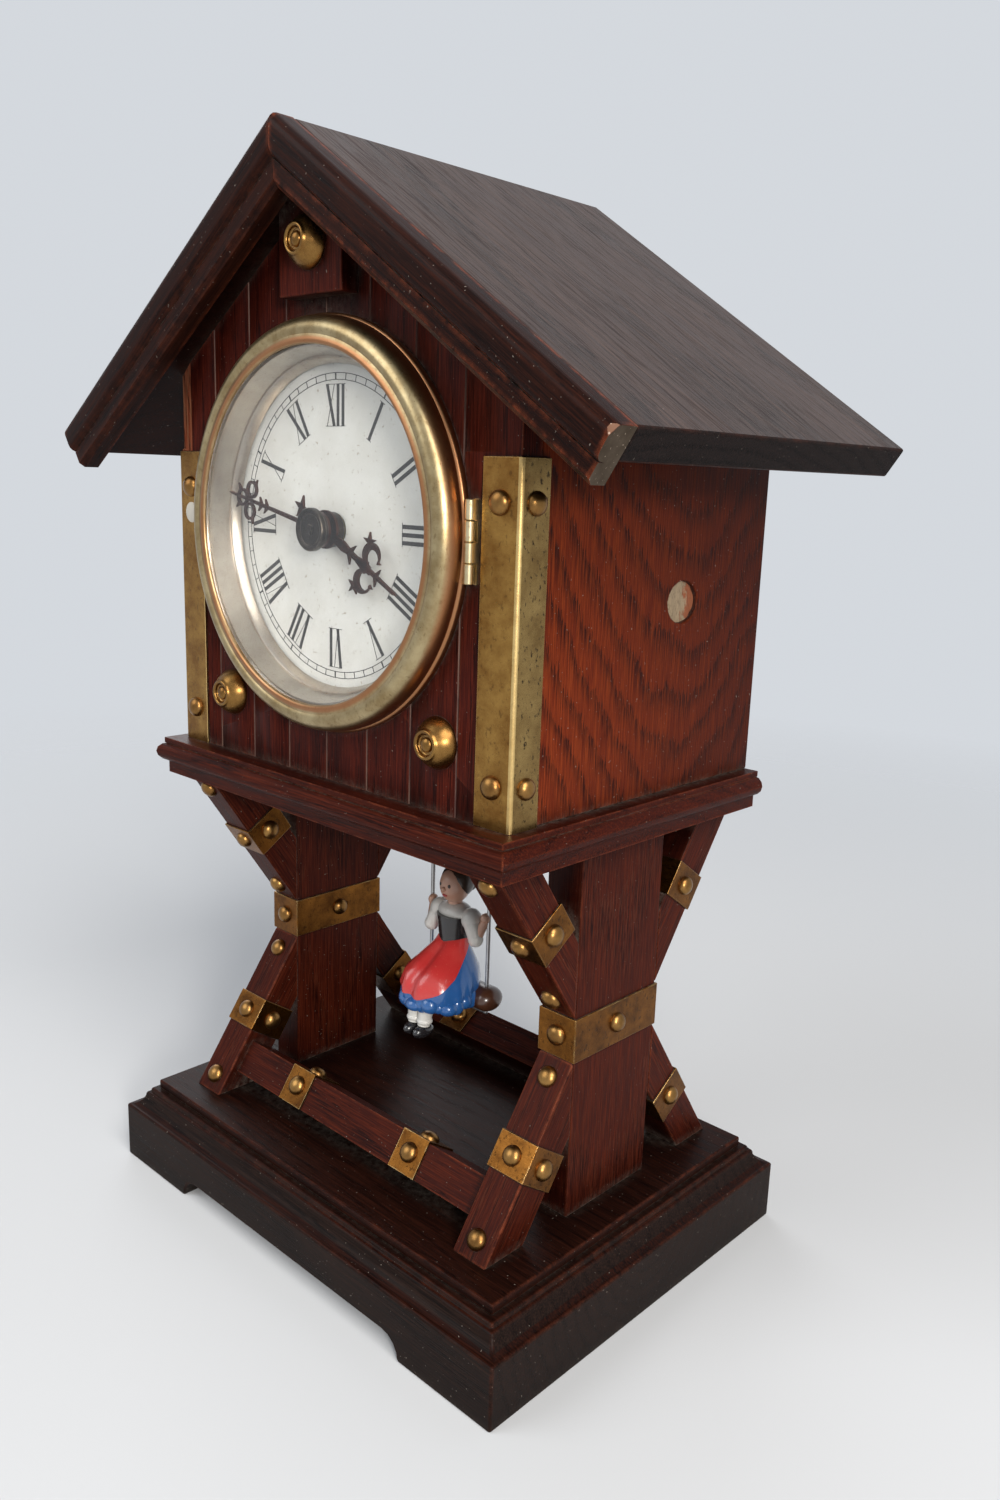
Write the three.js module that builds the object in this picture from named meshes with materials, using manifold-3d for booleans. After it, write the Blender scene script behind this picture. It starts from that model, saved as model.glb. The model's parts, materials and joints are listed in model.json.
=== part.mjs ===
// Chalet mantel clock: a wooden house on a trestle stand, whose pendulum is a figure on a swing.
// Millimetres, +Z up, +X to the right seen from the front, and the dial faces -Y.
// The origin is on the table under the middle of the base.
import * as THREE from 'three';
import { mergeVertices } from 'three/addons/utils/BufferGeometryUtils.js';
import Module from 'manifold-3d';

const wasm = await Module();
wasm.setup();

// How finely corners are placed, per millimetre, and sides of a large turned piece
const GRID = 1024;
const ROUND_STEPS = 36;

// Clearances
const GAP = 0.3;
const PLAY = 0.2;
const SWING_PLAY = 9;

// Base
const BASE_WIDTH = 182.8;
const BASE_DEPTH = 137.6;
const BASE_FACE = 19.8;
const BASE_COVE = 4.9;
const BASE_STEP = 1.2;
const BASE_STEP_HEIGHT = 1.5;
const CHANNEL_WIDTH = 109.4;
const CHANNEL_HEIGHT = 6.7;
const PLATFORM_REVEAL = 2.3;
const PLATFORM_THICKNESS = 3.2;

// Trestle
const POST_SPAN = 143.2;
const POST_WIDTH = 12.8;
const POST_DEPTH = 38;
const POST_HEIGHT = 114.6;
const POST_CENTRE_Y = 2;
const STRAP_SHEET = 0.6;
const WAIST_STRAP = 13.6;
const STRUT_THICKNESS = 13.2;
const STRUT_SPREAD = 34.7;
const BAND_WIDTH = 11.3;
const RAIL_DEPTH = 12;
const RAIL_HEIGHT = 11.5;
const RAIL_RECESS = 2.75;
const RAIL_BAND_SPACING = 56;

// Dial and bezel
const BEZEL_RADIUS = 57.4;
const BEZEL_HEIGHT = 8.9;
const BEZEL_EDGE = 1.5;
const BEZEL_WALL = 7.2;
const BEZEL_LIP = 1.4;
const BEZEL_LIP_THICKNESS = 0.6;
const BEZEL_LIP_DROP = 0.9;
const GLASS_THICKNESS = 1;
const RING_SHEET = 0.6;
const RING_REACH = 3.4;
const RING_CLEARANCE = 0.7;
const DIAL_DEPTH = 3.6;
const DIAL_SHEET = 0.8;
const DIAL_FLANGE = 6;
const DIAL_SPACE = 14.9;
const HINGE_LENGTH = 21;
const HINGE_RADIUS = 1.35;
const HINGE_SPACE = 1.1;
const HINGE_PIN = 0.6;

// House
const CASE_DEPTH = 111.1;
const CASE_FRONT = -50.1;
const PANEL = 7;
const CORNER_STRAP_FRONT = 12.1;
const CORNER_STRAP_SIDE = 9.8;
const CORNER_STRAP_HEIGHT = 93;
const CORNER_STRAP_SHEET = 0.8;
const FLOOR_SIDE = 6.5;
const FLOOR_FRONT = 9;
const FLOOR_FILLET = 4;
const FLOOR_BEAD = 3;
const FLOOR_TOP_STEP = 0.9;
const FLOOR_TOP_FILLET = 1.8;
const ROOF_PITCH = THREE.MathUtils.degToRad(33.6);
const ROOF_SLOPE = 138.5;
const ROOF_THICKNESS = 9;
const ROOF_FRONT = 10.9;
const ROOF_BACK = 0.5;
const VERGE_THICKNESS = 7.8;
const VERGE_ROUND = 2.6;
const VERGE_FILLET = 5.6;
const VERGE_STEP = 1.5;
const GABLE_WIDTH = 26.8;
const GABLE_THICKNESS = 5.9;
const GABLE_SPACE = 4.1;
const GABLE_RISE = 42;
const BOSS_RADIUS = 6.35;
const BOSS_LENGTH = 7.6;
const BOSS_SPREAD = 94;
const BOSS_HEIGHT = 19.2;
const SIDE_HOLE = 11;
const SIDE_HOLE_DEPTH = 3;
const SIDE_HOLE_BACK = 41.4;
const SIDE_HOLE_HEIGHT = 55.2;
const DOOR_WIDTH = 88;
const DOOR_HEIGHT = 96;
const DOOR_SILL = 12.2;
const DOOR_GAP = 0.6;
const DOOR_HINGE_LENGTH = 42;
const DOOR_HINGE_RADIUS = 1.8;
const DOOR_HINGE_PIN = 0.9;
const DOOR_LEAF = 10;
const DOOR_LEAF_SHEET = 0.8;
const BUTTON_LENGTH = 24;
const BUTTON_WIDTH = 7;
const BUTTON_THICKNESS = 2.5;
const BUTTON_INSET = 6;
const BUTTON_PIN = 1.2;

// Hands
const TIP_CLEARANCE = 0.8;
const HOUR_HAND_SHORTER = 10;
const HOUR_ANGLE = THREE.MathUtils.degToRad(118);
const MINUTE_ANGLE = THREE.MathUtils.degToRad(282);
const HAND_SHEET = 0.8;
const HOUR_HAND_RISE = 3.2;
const HAND_SPACING = 2.4;
const HUB_RADIUS = 6;
const HUB_LENGTH = 3.2;

// Movement
const PLATE = 1.5;
const PLATE_GAP = 23.5;
const PLATE_WIDTH = 60;
const PLATE_SETBACK = 9.1;
const PLATE_MARGIN = 10;
const PILLAR_RADIUS = 2.5;
const STANDOFF_RADIUS = 3.5;
const EAR_MARGIN = 1;
const EAR_WIDTH = 10;
const CROWN_HEIGHT = 16.2;
const WHEEL_TEETH = 36;
const PINION_LEAVES = 6;
const GREAT_TEETH = 48;
const CENTRE_LEAVES = 8;
const WHEEL_SHEET = 1.5;
const WINDOWS = 4;
const TRUNDLE_RADIUS = 0.48;
const SHROUD_SHEET = 0.8;
const SHROUD_SPACE = 0.4;
const ARBOR_RADIUS = 1;
const CENTRE_RADIUS = 1.4;
const PIPE_WALL = 0.9;
const SLIP_PIPE_WALL = 0.5;
const WINDING_RADIUS = 2.5;
const RATCHET_TEETH = 16;
const RATCHET_RADIUS = 7;
const CLICK_OUT = 2.5;
const CLICK_DROP = 1;
const CLICK_PIN = 1;
const CLICK_BITE = 0.15;
const SPRING_SHEET = 0.6;
const SPRING_TURNS = 5;
const SPRING_SPACE = 1.5;
const SPRING_MARGIN = 4.2;
const CROWN_TEETH = 27;
const CROWN_RADIUS = 9.4;
const CROWN_RIM = 1.2;
const CROWN_DEPTH = 5;
const CROWN_TOOTH = 2.5;
const CROWN_BEHIND = 3.5;
const COCK_SPACE = 3.4;
const COCK_SHEET = 2;
const MOTION_MODULE = 0.6;
const CANNON_LEAVES = 10;
const MINUTE_TEETH = 30;
const MINUTE_LEAVES = 8;
const HOUR_TEETH = 32;
const KNOB_RADIUS = 7;
const KNOB_LENGTH = 7;
const KEY_LENGTH = 14;
const KEY_WING = 7;

// Swing
const VERGE_CLEARANCE = 2.5;
const PALLET_SHEET = 0.8;
const PALLET_TILT = Math.PI / 4;
const SWING_ANGLE = THREE.MathUtils.degToRad(10);
const WIRE_SPREAD = 27.2;
const WIRE_RADIUS = 0.7;
const SWING_DROP = 99;
const SEAT_WIDTH = 37;
const SEAT_DEPTH = 11;
const SEAT_THICKNESS = 8.6;
const FIGURE_HEIGHT = 42;

// Finishes
const STAINED_OAK = { color: 0x3a1410, roughness: 0.42, metalness: 0 };
const DARK_OAK = { color: 0x26100d, roughness: 0.5, metalness: 0 };
const BRASS = { color: 0x9a7a3c, roughness: 0.38, metalness: 1 };
const SILVERED = { color: 0xc9c4b4, roughness: 0.25, metalness: 1 };
const WHITE_DIAL = { color: 0xe6e4dc, roughness: 0.5, metalness: 0 };
const BLUED = { color: 0x1b1512, roughness: 0.45, metalness: 0.6 };
const STEEL = { color: 0x8c8c8c, roughness: 0.4, metalness: 1 };
const GLASS = { color: 0xf2f6f6, roughness: 0.03, metalness: 0, transparent: true, opacity: 0.25 };
const PAINTED = { color: 0xb3202c, roughness: 0.4, metalness: 0 };

// Levels and places that follow from the sizes above
const baseTop = BASE_FACE + BASE_COVE + BASE_STEP_HEIGHT;
const platformTop = baseTop + PLATFORM_THICKNESS;
const floorBottom = platformTop + POST_HEIGHT;
const floorTop = floorBottom + FLOOR_FILLET + 2 * FLOOR_BEAD + FLOOR_TOP_FILLET;
const waistZ = platformTop + POST_HEIGHT / 2;
const waistLow = waistZ - WAIST_STRAP / 2;
const postOut = POST_SPAN / 2;
const postIn = postOut - POST_WIDTH;
const postFront = POST_CENTRE_Y - POST_DEPTH / 2;
const hingeX = BEZEL_RADIUS + HINGE_RADIUS + PLAY;
const caseHalf = hingeX + HINGE_RADIUS + HINGE_SPACE + CORNER_STRAP_FRONT;
const caseBack = CASE_FRONT + CASE_DEPTH;
const roofDrop = ROOF_THICKNESS / Math.cos(ROOF_PITCH);
const roofFront = CASE_FRONT - ROOF_FRONT;
const dialZ = floorTop + DIAL_SPACE + BEZEL_RADIUS;
const gableLow = dialZ + BEZEL_RADIUS + GABLE_SPACE;
const ridgeZ = gableLow + GABLE_RISE;
const bezelBack = CASE_FRONT - PLAY;
const bezelInner = BEZEL_RADIUS - BEZEL_WALL;
const dialFront = CASE_FRONT + DIAL_DEPTH;
const panelBack = CASE_FRONT + PANEL;
const plateFront = panelBack + PLATE_SETBACK;
const trainFront = plateFront + PLATE;
const trainBack = trainFront + PLATE_GAP;
const plateBack = trainBack + PLATE;
const crownZ = floorTop + CROWN_HEIGHT;
const trainStep = (dialZ - crownZ) / 3;
const trainModule = 2 * trainStep / (WHEEL_TEETH + PINION_LEAVES);
const windingStep = trainModule * (GREAT_TEETH + CENTRE_LEAVES) / 2;
const windingZ = dialZ + windingStep;
const thirdZ = dialZ - trainStep;
const fourthZ = thirdZ - trainStep;
const crownTip = plateBack + CROWN_BEHIND + CROWN_DEPTH + CROWN_TOOTH;
const swingY = crownTip + VERGE_CLEARANCE + ARBOR_RADIUS;
const wireX = WIRE_SPREAD / 2;

// Height of the roof's underside over a place x, kept clear of what stands under it.
function underRoof(x) {
  return ridgeZ - roofDrop - GAP / Math.cos(ROOF_PITCH) - Math.abs(x) * Math.tan(ROOF_PITCH);
}

// A closed geometry as a solid. Corners sit on a fine binary grid, so that faces which are meant
// to meet have the very same numbers, and a solid drawn inside out is turned round.
function solid(geometry) {
  const plain = geometry.index ? geometry.toNonIndexed() : geometry;
  for (const name of Object.keys(plain.attributes)) {
    if (name !== 'position') plain.deleteAttribute(name);
  }
  const place = plain.attributes.position;
  for (let i = 0; i < place.array.length; i++) {
    place.array[i] = Math.round(place.array[i] * GRID) / GRID;
  }
  const merged = mergeVertices(plain, 0.5 / GRID);
  const corners = merged.attributes.position.array;
  const faces = [];
  let volume = 0;
  const a = new THREE.Vector3();
  const b = new THREE.Vector3();
  const c = new THREE.Vector3();
  for (let i = 0; i < merged.index.count; i += 3) {
    const face = [merged.index.getX(i), merged.index.getX(i + 1), merged.index.getX(i + 2)];
    if (face[0] === face[1] || face[1] === face[2] || face[2] === face[0]) continue;
    a.fromArray(corners, 3 * face[0]);
    b.fromArray(corners, 3 * face[1]);
    c.fromArray(corners, 3 * face[2]);
    volume += a.dot(b.cross(c));
    faces.push(face);
  }
  const order = volume < 0 ? [0, 2, 1] : [0, 1, 2];
  const triVerts = new Uint32Array(faces.flatMap((face) => order.map((k) => face[k])));
  const vertProperties = new Float32Array(corners);
  return new wasm.Manifold(new wasm.Mesh({ numProp: 3, vertProperties, triVerts }));
}

function union(solids) {
  return solids.reduce((whole, piece) => whole.add(piece));
}

// A solid back as a mesh with its own finish.
function piece(name, body, finish) {
  const mesh = body.getMesh();
  const geometry = new THREE.BufferGeometry();
  geometry.setAttribute('position', new THREE.BufferAttribute(new Float32Array(mesh.vertProperties), 3));
  geometry.setIndex(new THREE.BufferAttribute(new Uint32Array(mesh.triVerts), 1));
  geometry.computeVertexNormals();
  const made = new THREE.Mesh(geometry, new THREE.MeshStandardMaterial({ ...finish, flatShading: true }));
  made.name = name;
  return made;
}

function box(x0, x1, y0, y1, z0, z1) {
  const geometry = new THREE.BoxGeometry(x1 - x0, y1 - y0, z1 - z0);
  return solid(geometry.translate((x0 + x1) / 2, (y0 + y1) / 2, (z0 + z1) / 2));
}

function outline(points) {
  return new THREE.Shape(points.map(([u, v]) => new THREE.Vector2(u, v)));
}

function disc(u, v, radius) {
  const shape = new THREE.Shape();
  shape.absarc(u, v, radius, 0, 2 * Math.PI);
  return shape;
}

function extrude(shape, depth, steps) {
  return new THREE.ExtrudeGeometry(shape, { depth, bevelEnabled: false, curveSegments: steps });
}

// Outlines drawn in Y and Z and run along X, drawn in X and Z and run along Y, or drawn in X and Y
// and run along Z.
const ACROSS = new THREE.Matrix4().set(0, 0, 1, 0, 1, 0, 0, 0, 0, 1, 0, 0, 0, 0, 0, 1);
const THROUGH = new THREE.Matrix4().set(1, 0, 0, 0, 0, 0, -1, 0, 0, 1, 0, 0, 0, 0, 0, 1);

function alongX(shape, x0, x1, steps = 8) {
  return solid(extrude(shape, x1 - x0, steps).applyMatrix4(ACROSS).translate(x0, 0, 0));
}

function alongY(shape, y0, y1, steps = 8) {
  return solid(extrude(shape, y1 - y0, steps).applyMatrix4(THROUGH).translate(0, y1, 0));
}

function alongZ(shape, z0, z1, steps = 8) {
  return solid(extrude(shape, z1 - z0, steps).translate(0, 0, z0));
}

// A profile of radius and Y turned about a line along Y through x and z.
function turned(profile, x, z, segments) {
  const points = profile.map(([radius, y]) => new THREE.Vector2(radius, y));
  return solid(new THREE.LatheGeometry(points, segments).translate(x, 0, z));
}

function rod(x, z, radius, y0, y1, segments = 10) {
  return turned([[0, y0], [radius, y0], [radius, y1], [0, y1]], x, z, segments);
}

function rodX(y, z, radius, x0, x1, segments = 10) {
  const geometry = new THREE.CylinderGeometry(radius, radius, x1 - x0, segments);
  return solid(geometry.rotateZ(Math.PI / 2).translate((x0 + x1) / 2, y, z));
}

function rodZ(x, y, radius, z0, z1, segments = 10) {
  const geometry = new THREE.CylinderGeometry(radius, radius, z1 - z0, segments);
  return solid(geometry.rotateX(Math.PI / 2).translate(x, y, (z0 + z1) / 2));
}

function ball(x, y, z, rx, ry, rz, across = 8, up = 6) {
  const geometry = new THREE.SphereGeometry(1, across, up).rotateX(Math.PI / 2);
  return solid(geometry.scale(rx, ry, rz).translate(x, y, z));
}

function arc(u, v, radius, from, to, steps) {
  const curve = new THREE.EllipseCurve(u, v, radius, radius, from, to, to < from);
  return curve.getPoints(steps).map((point) => [point.x, point.y]);
}

// A block whose edge moulding returns round its corners with mitres: the moulded outline run from
// front to back, met by the same moulding run from side to side. The edge is given from the bottom
// up as how far it stands in and its height. A plain back has no moulding.
function mouldedBlock(halfX, front, back, edge, plainBack) {
  const right = edge.map(([inset, z]) => [halfX - inset, z]);
  const left = edge.map(([inset, z]) => [inset - halfX, z]).reverse();
  const near = edge.map(([inset, z]) => [front + inset, z]).reverse();
  const low = edge[0][1];
  const high = edge[edge.length - 1][1];
  const far = plainBack ? [[back, low], [back, high]] : edge.map(([inset, z]) => [back - inset, z]);
  const acrossFront = alongY(outline([...right, ...left]), front, back);
  return acrossFront.intersect(alongX(outline([...far, ...near]), -halfX, halfX));
}

const parts = [];

function add(name, body, finish) {
  parts.push(piece(name, body, finish));
}

// Base: a block with a coved top edge on two runners, and a thin platform on it
function baseBlock() {
  const edge = [
    [0, 0],
    [0, BASE_FACE],
    ...arc(0, BASE_FACE + BASE_COVE, BASE_COVE, -Math.PI / 2, 0, 5).slice(1),
    [BASE_COVE + BASE_STEP, BASE_FACE + BASE_COVE],
    [BASE_COVE + BASE_STEP, baseTop],
  ];
  const half = CHANNEL_WIDTH / 2;
  const reach = half - CHANNEL_HEIGHT;
  const channel = outline([
    [-half, -GAP],
    [half, -GAP],
    ...arc(reach, 0, CHANNEL_HEIGHT, 0, Math.PI / 2, 4),
    ...arc(-reach, 0, CHANNEL_HEIGHT, Math.PI / 2, Math.PI, 4),
  ]);
  const deep = BASE_DEPTH / 2;
  const block = mouldedBlock(BASE_WIDTH / 2, -deep, deep, edge, false);
  return block.subtract(alongY(channel, -deep - GAP, deep + GAP));
}

const platformInset = BASE_COVE + BASE_STEP + PLATFORM_REVEAL;
const platformX = BASE_WIDTH / 2 - platformInset;
const platformY = BASE_DEPTH / 2 - platformInset;
add('base_block', baseBlock(), DARK_OAK);
add('base_platform', box(-platformX, platformX, -platformY, platformY, baseTop, platformTop), DARK_OAK);

// Posts with their brass waist straps
for (const [side, x0] of [['left', -postOut], ['right', postIn]]) {
  const x1 = x0 + POST_WIDTH;
  const postBack = postFront + POST_DEPTH;
  add(`post_${side}`, box(x0, x1, postFront, postBack, platformTop, floorBottom), STAINED_OAK);
  const s = STRAP_SHEET;
  const sleeve = box(x0 - s, x1 + s, postFront - s, postBack + s, waistLow, waistLow + WAIST_STRAP);
  const inside = box(x0, x1, postFront, postBack, waistLow - GAP, waistLow + WAIST_STRAP + GAP);
  add(`waist_strap_${side}`, sleeve.subtract(inside), BRASS);
}

// Struts: square bars from the waist to the platform or the floor, each with a raised brass band
const strutRun = STRUT_SPREAD / (waistLow - platformTop);
const strutTilt = Math.atan(strutRun);
const strutFoot = postFront - STRUT_SPREAD;
const strutAlong = [Math.sin(strutTilt), Math.cos(strutTilt)];
const strutOut = [-Math.cos(strutTilt), Math.sin(strutTilt)];

// A place on a lower front strut: how far up its front face, and how far out of it.
function onStrut(up, out) {
  return [
    strutFoot + strutAlong[0] * up + strutOut[0] * out,
    platformTop + strutAlong[1] * up + strutOut[1] * out,
  ];
}

function strut(x0, x1, place) {
  const heel = strutFoot + STRUT_THICKNESS / Math.cos(strutTilt);
  const bar = [
    [strutFoot, platformTop],
    [heel, platformTop],
    [postFront, platformTop + (postFront - heel) / strutRun],
    [postFront, waistLow],
  ];
  const middle = (waistLow - platformTop) / Math.cos(strutTilt) / 2;
  const band = [
    onStrut(middle - BAND_WIDTH / 2, STRAP_SHEET),
    onStrut(middle + BAND_WIDTH / 2, STRAP_SHEET),
    onStrut(middle + BAND_WIDTH / 2, -STRUT_THICKNESS - STRAP_SHEET),
    onStrut(middle - BAND_WIDTH / 2, -STRUT_THICKNESS - STRAP_SHEET),
  ];
  const wrapped = alongX(outline(band.map(place)), x0 - STRAP_SHEET, x1 + STRAP_SHEET);
  return alongX(outline(bar.map(place)), x0, x1).add(wrapped);
}

for (const end of ['front', 'rear']) {
  for (const level of ['lower', 'upper']) {
    for (const [side, x0] of [['left', -postOut], ['right', postIn]]) {
      const place = ([y, z]) => [
        end === 'front' ? y : 2 * POST_CENTRE_Y - y,
        level === 'lower' ? z : 2 * waistZ - z,
      ];
      add(`strut_${end}_${level}_${side}`, strut(x0, x0 + POST_WIDTH, place), STAINED_OAK);
    }
  }
}

// Rails between the lower struts, tilted like them, each with two bands over front and top
function rail(place) {
  const up = (RAIL_RECESS + RAIL_DEPTH) * strutRun;
  const front = -RAIL_RECESS;
  const back = front - RAIL_DEPTH;
  const corners = [onStrut(up, front), onStrut(up + RAIL_HEIGHT, front)];
  corners.push(onStrut(up + RAIL_HEIGHT, back), onStrut(up, back));
  const proud = front + STRAP_SHEET;
  const top = up + RAIL_HEIGHT + STRAP_SHEET;
  const middle = up + RAIL_HEIGHT / 2;
  const wrap = [
    onStrut(up, proud),
    onStrut(top, proud),
    onStrut(top, back),
    onStrut(middle, back),
    onStrut(up, front),
  ];
  let bar = alongX(outline(corners.map(place)), -postIn, postIn);
  for (const side of [-1, 1]) {
    const x = side * RAIL_BAND_SPACING / 2;
    bar = bar.add(alongX(outline(wrap.map(place)), x - BAND_WIDTH / 2, x + BAND_WIDTH / 2));
  }
  return bar;
}

add('rail_front', rail(([y, z]) => [y, z]), STAINED_OAK);
add('rail_rear', rail(([y, z]) => [2 * POST_CENTRE_Y - y, z]), STAINED_OAK);

// Case floor: a board with a beaded edge on three sides and the slot that the swing hangs through
function caseFloor() {
  const bead = floorBottom + FLOOR_FILLET + FLOOR_BEAD;
  const edge = [
    [FLOOR_BEAD, floorBottom],
    ...arc(FLOOR_BEAD, bead, FLOOR_BEAD, 1.5 * Math.PI, Math.PI / 2, 6),
    [FLOOR_BEAD - FLOOR_TOP_STEP, bead + FLOOR_BEAD],
    [FLOOR_BEAD - FLOOR_TOP_STEP, floorTop],
  ];
  const board = mouldedBlock(caseHalf + FLOOR_SIDE, CASE_FRONT - FLOOR_FRONT, caseBack, edge, true);
  const slotX = wireX + SWING_PLAY / 2;
  const slotY = [swingY - SWING_PLAY, swingY + SWING_PLAY];
  const slot = box(-slotX, slotX, ...slotY, floorBottom - GAP, floorTop + GAP);
  return board.subtract(slot);
}

add('case_floor', caseFloor(), STAINED_OAK);

// A gabled board under the roof, from the floor up
function gabled(half, low, y0, y1) {
  const points = [
    [-half, low],
    [half, low],
    [half, underRoof(half)],
    [0, underRoof(0)],
    [-half, underRoof(half)],
  ];
  return alongY(outline(points), y0, y1);
}

const dialHole = rod(0, dialZ, bezelInner, CASE_FRONT - GAP, panelBack + GAP, ROUND_STEPS);
add('case_front', gabled(caseHalf, floorTop, CASE_FRONT, panelBack).subtract(dialHole), STAINED_OAK);

// Sides behind the front panel, with their top edges cut to the roof's pitch
const sideIn = caseHalf - PANEL;
const sideEdge = [
  [sideIn, floorTop],
  [caseHalf, floorTop],
  [caseHalf, underRoof(caseHalf)],
  [sideIn, underRoof(sideIn)],
];
const leftEdge = sideEdge.map(([x, z]) => [-x, z]);
const blindHole = rodX(
  caseBack - SIDE_HOLE_BACK, floorTop + SIDE_HOLE_HEIGHT, SIDE_HOLE / 2,
  caseHalf - SIDE_HOLE_DEPTH, caseHalf + GAP, 16,
);
add('case_left', alongY(outline(leftEdge), panelBack, caseBack), STAINED_OAK);
add('case_right', alongY(outline(sideEdge), panelBack, caseBack).subtract(blindHole), STAINED_OAK);

// Back frame between the sides, with the doorway, and the door on its hinge
const doorX = DOOR_WIDTH / 2;
const doorLow = floorTop + DOOR_SILL;
const doorHigh = doorLow + DOOR_HEIGHT;
const doorMiddle = (doorLow + doorHigh) / 2;
const backFront = caseBack - PANEL;
const buttonX = -doorX - BUTTON_INSET;
const doorAxisY = caseBack + DOOR_HINGE_RADIUS + PLAY;

function backFrame() {
  const doorway = box(-doorX, doorX, backFront - GAP, caseBack + GAP, doorLow, doorHigh);
  const socket = rod(buttonX, doorMiddle, BUTTON_PIN + PLAY, caseBack - PANEL / 2 - GAP, caseBack + GAP);
  return gabled(sideIn, floorTop, backFront, caseBack).subtract(doorway).subtract(socket);
}

// A hinge knuckle about an upright axis, and the pin through it
function knuckle(x, y, z0, z1, radius, bore) {
  const barrel = rodZ(x, y, radius, z0, z1);
  return bore ? barrel.subtract(rodZ(x, y, bore, z0 - GAP, z1 + GAP)) : barrel;
}

function backDoor() {
  const third = DOOR_HINGE_LENGTH / 6;
  const low = doorMiddle - third;
  const high = doorMiddle + third;
  const board = box(
    -doorX + DOOR_GAP, doorX - DOOR_GAP, backFront, caseBack, doorLow + DOOR_GAP, doorHigh - DOOR_GAP,
  );
  const leaf = box(
    doorX - DOOR_LEAF, doorX, caseBack - GAP, caseBack + DOOR_LEAF_SHEET, low + PLAY, high - PLAY,
  );
  const bore = rodZ(doorX, doorAxisY, DOOR_HINGE_PIN + PLAY, low, high);
  const barrel = knuckle(doorX, doorAxisY, low + PLAY, high - PLAY, DOOR_HINGE_RADIUS);
  const inside = box(doorX - DOOR_GAP, doorX, caseBack - 2 * GAP, caseBack + PLAY / 2, low, high);
  return board.add(leaf).add(barrel).subtract(bore).subtract(inside);
}

function backDoorHinge() {
  const third = DOOR_HINGE_LENGTH / 3;
  let hinge = rodZ(doorX, doorAxisY, DOOR_HINGE_PIN, doorMiddle - 1.5 * third, doorMiddle + 1.5 * third);
  for (const low of [doorMiddle - 1.5 * third, doorMiddle + third / 2]) {
    const leaf = box(doorX, doorX + DOOR_LEAF, caseBack, caseBack + DOOR_LEAF_SHEET, low, low + third);
    hinge = hinge.add(rodZ(doorX, doorAxisY, DOOR_HINGE_RADIUS, low, low + third)).add(leaf);
  }
  return hinge;
}

function turnButton() {
  const half = BUTTON_WIDTH / 2;
  const reach = BUTTON_LENGTH / 2 - half;
  const bar = outline([
    ...arc(buttonX, doorMiddle + reach, half, 0, Math.PI, 6),
    ...arc(buttonX, doorMiddle - reach, half, Math.PI, 2 * Math.PI, 6),
  ]);
  const pin = rod(buttonX, doorMiddle, BUTTON_PIN, caseBack - PANEL / 2, caseBack + BUTTON_THICKNESS);
  return alongY(bar, caseBack + GAP, caseBack + GAP + BUTTON_THICKNESS).add(pin);
}

add('case_back', backFrame(), STAINED_OAK);
add('back_door', backDoor(), STAINED_OAK);
add('back_door_hinge', backDoorHinge(), BRASS);
add('turn_button', turnButton(), BRASS);

// Roof boards mitred at the ridge, and the moulded verge boards in front of them
const eaveX = ROOF_SLOPE * Math.cos(ROOF_PITCH);
const eaveZ = ridgeZ - ROOF_SLOPE * Math.sin(ROOF_PITCH);
const roofEdge = [
  [0, ridgeZ],
  [0, ridgeZ - roofDrop],
  [eaveX - ROOF_THICKNESS * Math.sin(ROOF_PITCH), eaveZ - ROOF_THICKNESS * Math.cos(ROOF_PITCH)],
  [eaveX, eaveZ],
];

// The verge's section has its depth below the roof's top as minus u, and Y as v. It is run from
// the eave past the ridge, then cut upright for the mitre.
function verge(side) {
  const front = roofFront - VERGE_THICKNESS;
  const step = front + VERGE_STEP;
  const low = -ROOF_THICKNESS;
  const section = outline([
    [0, roofFront],
    [low - VERGE_FILLET, roofFront],
    [low - VERGE_FILLET, step + VERGE_STEP],
    [low - VERGE_FILLET + VERGE_STEP, step],
    [low, step],
    ...arc(low + VERGE_ROUND, front + VERGE_ROUND, VERGE_ROUND, Math.PI, 1.5 * Math.PI, 4),
    ...arc(-VERGE_ROUND, front + VERGE_ROUND, VERGE_ROUND, 1.5 * Math.PI, 2 * Math.PI, 4),
  ]);
  const past = 2 * (ROOF_THICKNESS + VERGE_FILLET);
  const sin = Math.sin(ROOF_PITCH);
  const cos = Math.cos(ROOF_PITCH);
  const turn = new THREE.Matrix4().set(
    side * sin, 0, side * -cos, side * eaveX,
    0, 1, 0, 0,
    cos, 0, sin, eaveZ,
    0, 0, 0, 1,
  );
  const board = solid(extrude(section, ROOF_SLOPE + past).applyMatrix4(turn));
  const past0 = side > 0 ? -2 * past : 0;
  return board.subtract(box(past0, past0 + 2 * past, front - GAP, roofFront + GAP, eaveZ, ridgeZ + 2 * past));
}

for (const [side, sign] of [['left', -1], ['right', 1]]) {
  const edge = roofEdge.map(([x, z]) => [sign * x, z]);
  add(`roof_${side}`, alongY(outline(edge), roofFront, caseBack + ROOF_BACK), STAINED_OAK);
  add(`verge_${side}`, verge(sign), DARK_OAK);
}

add('gable_block', gabled(GABLE_WIDTH / 2, gableLow, CASE_FRONT - GABLE_THICKNESS, CASE_FRONT), STAINED_OAK);

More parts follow.
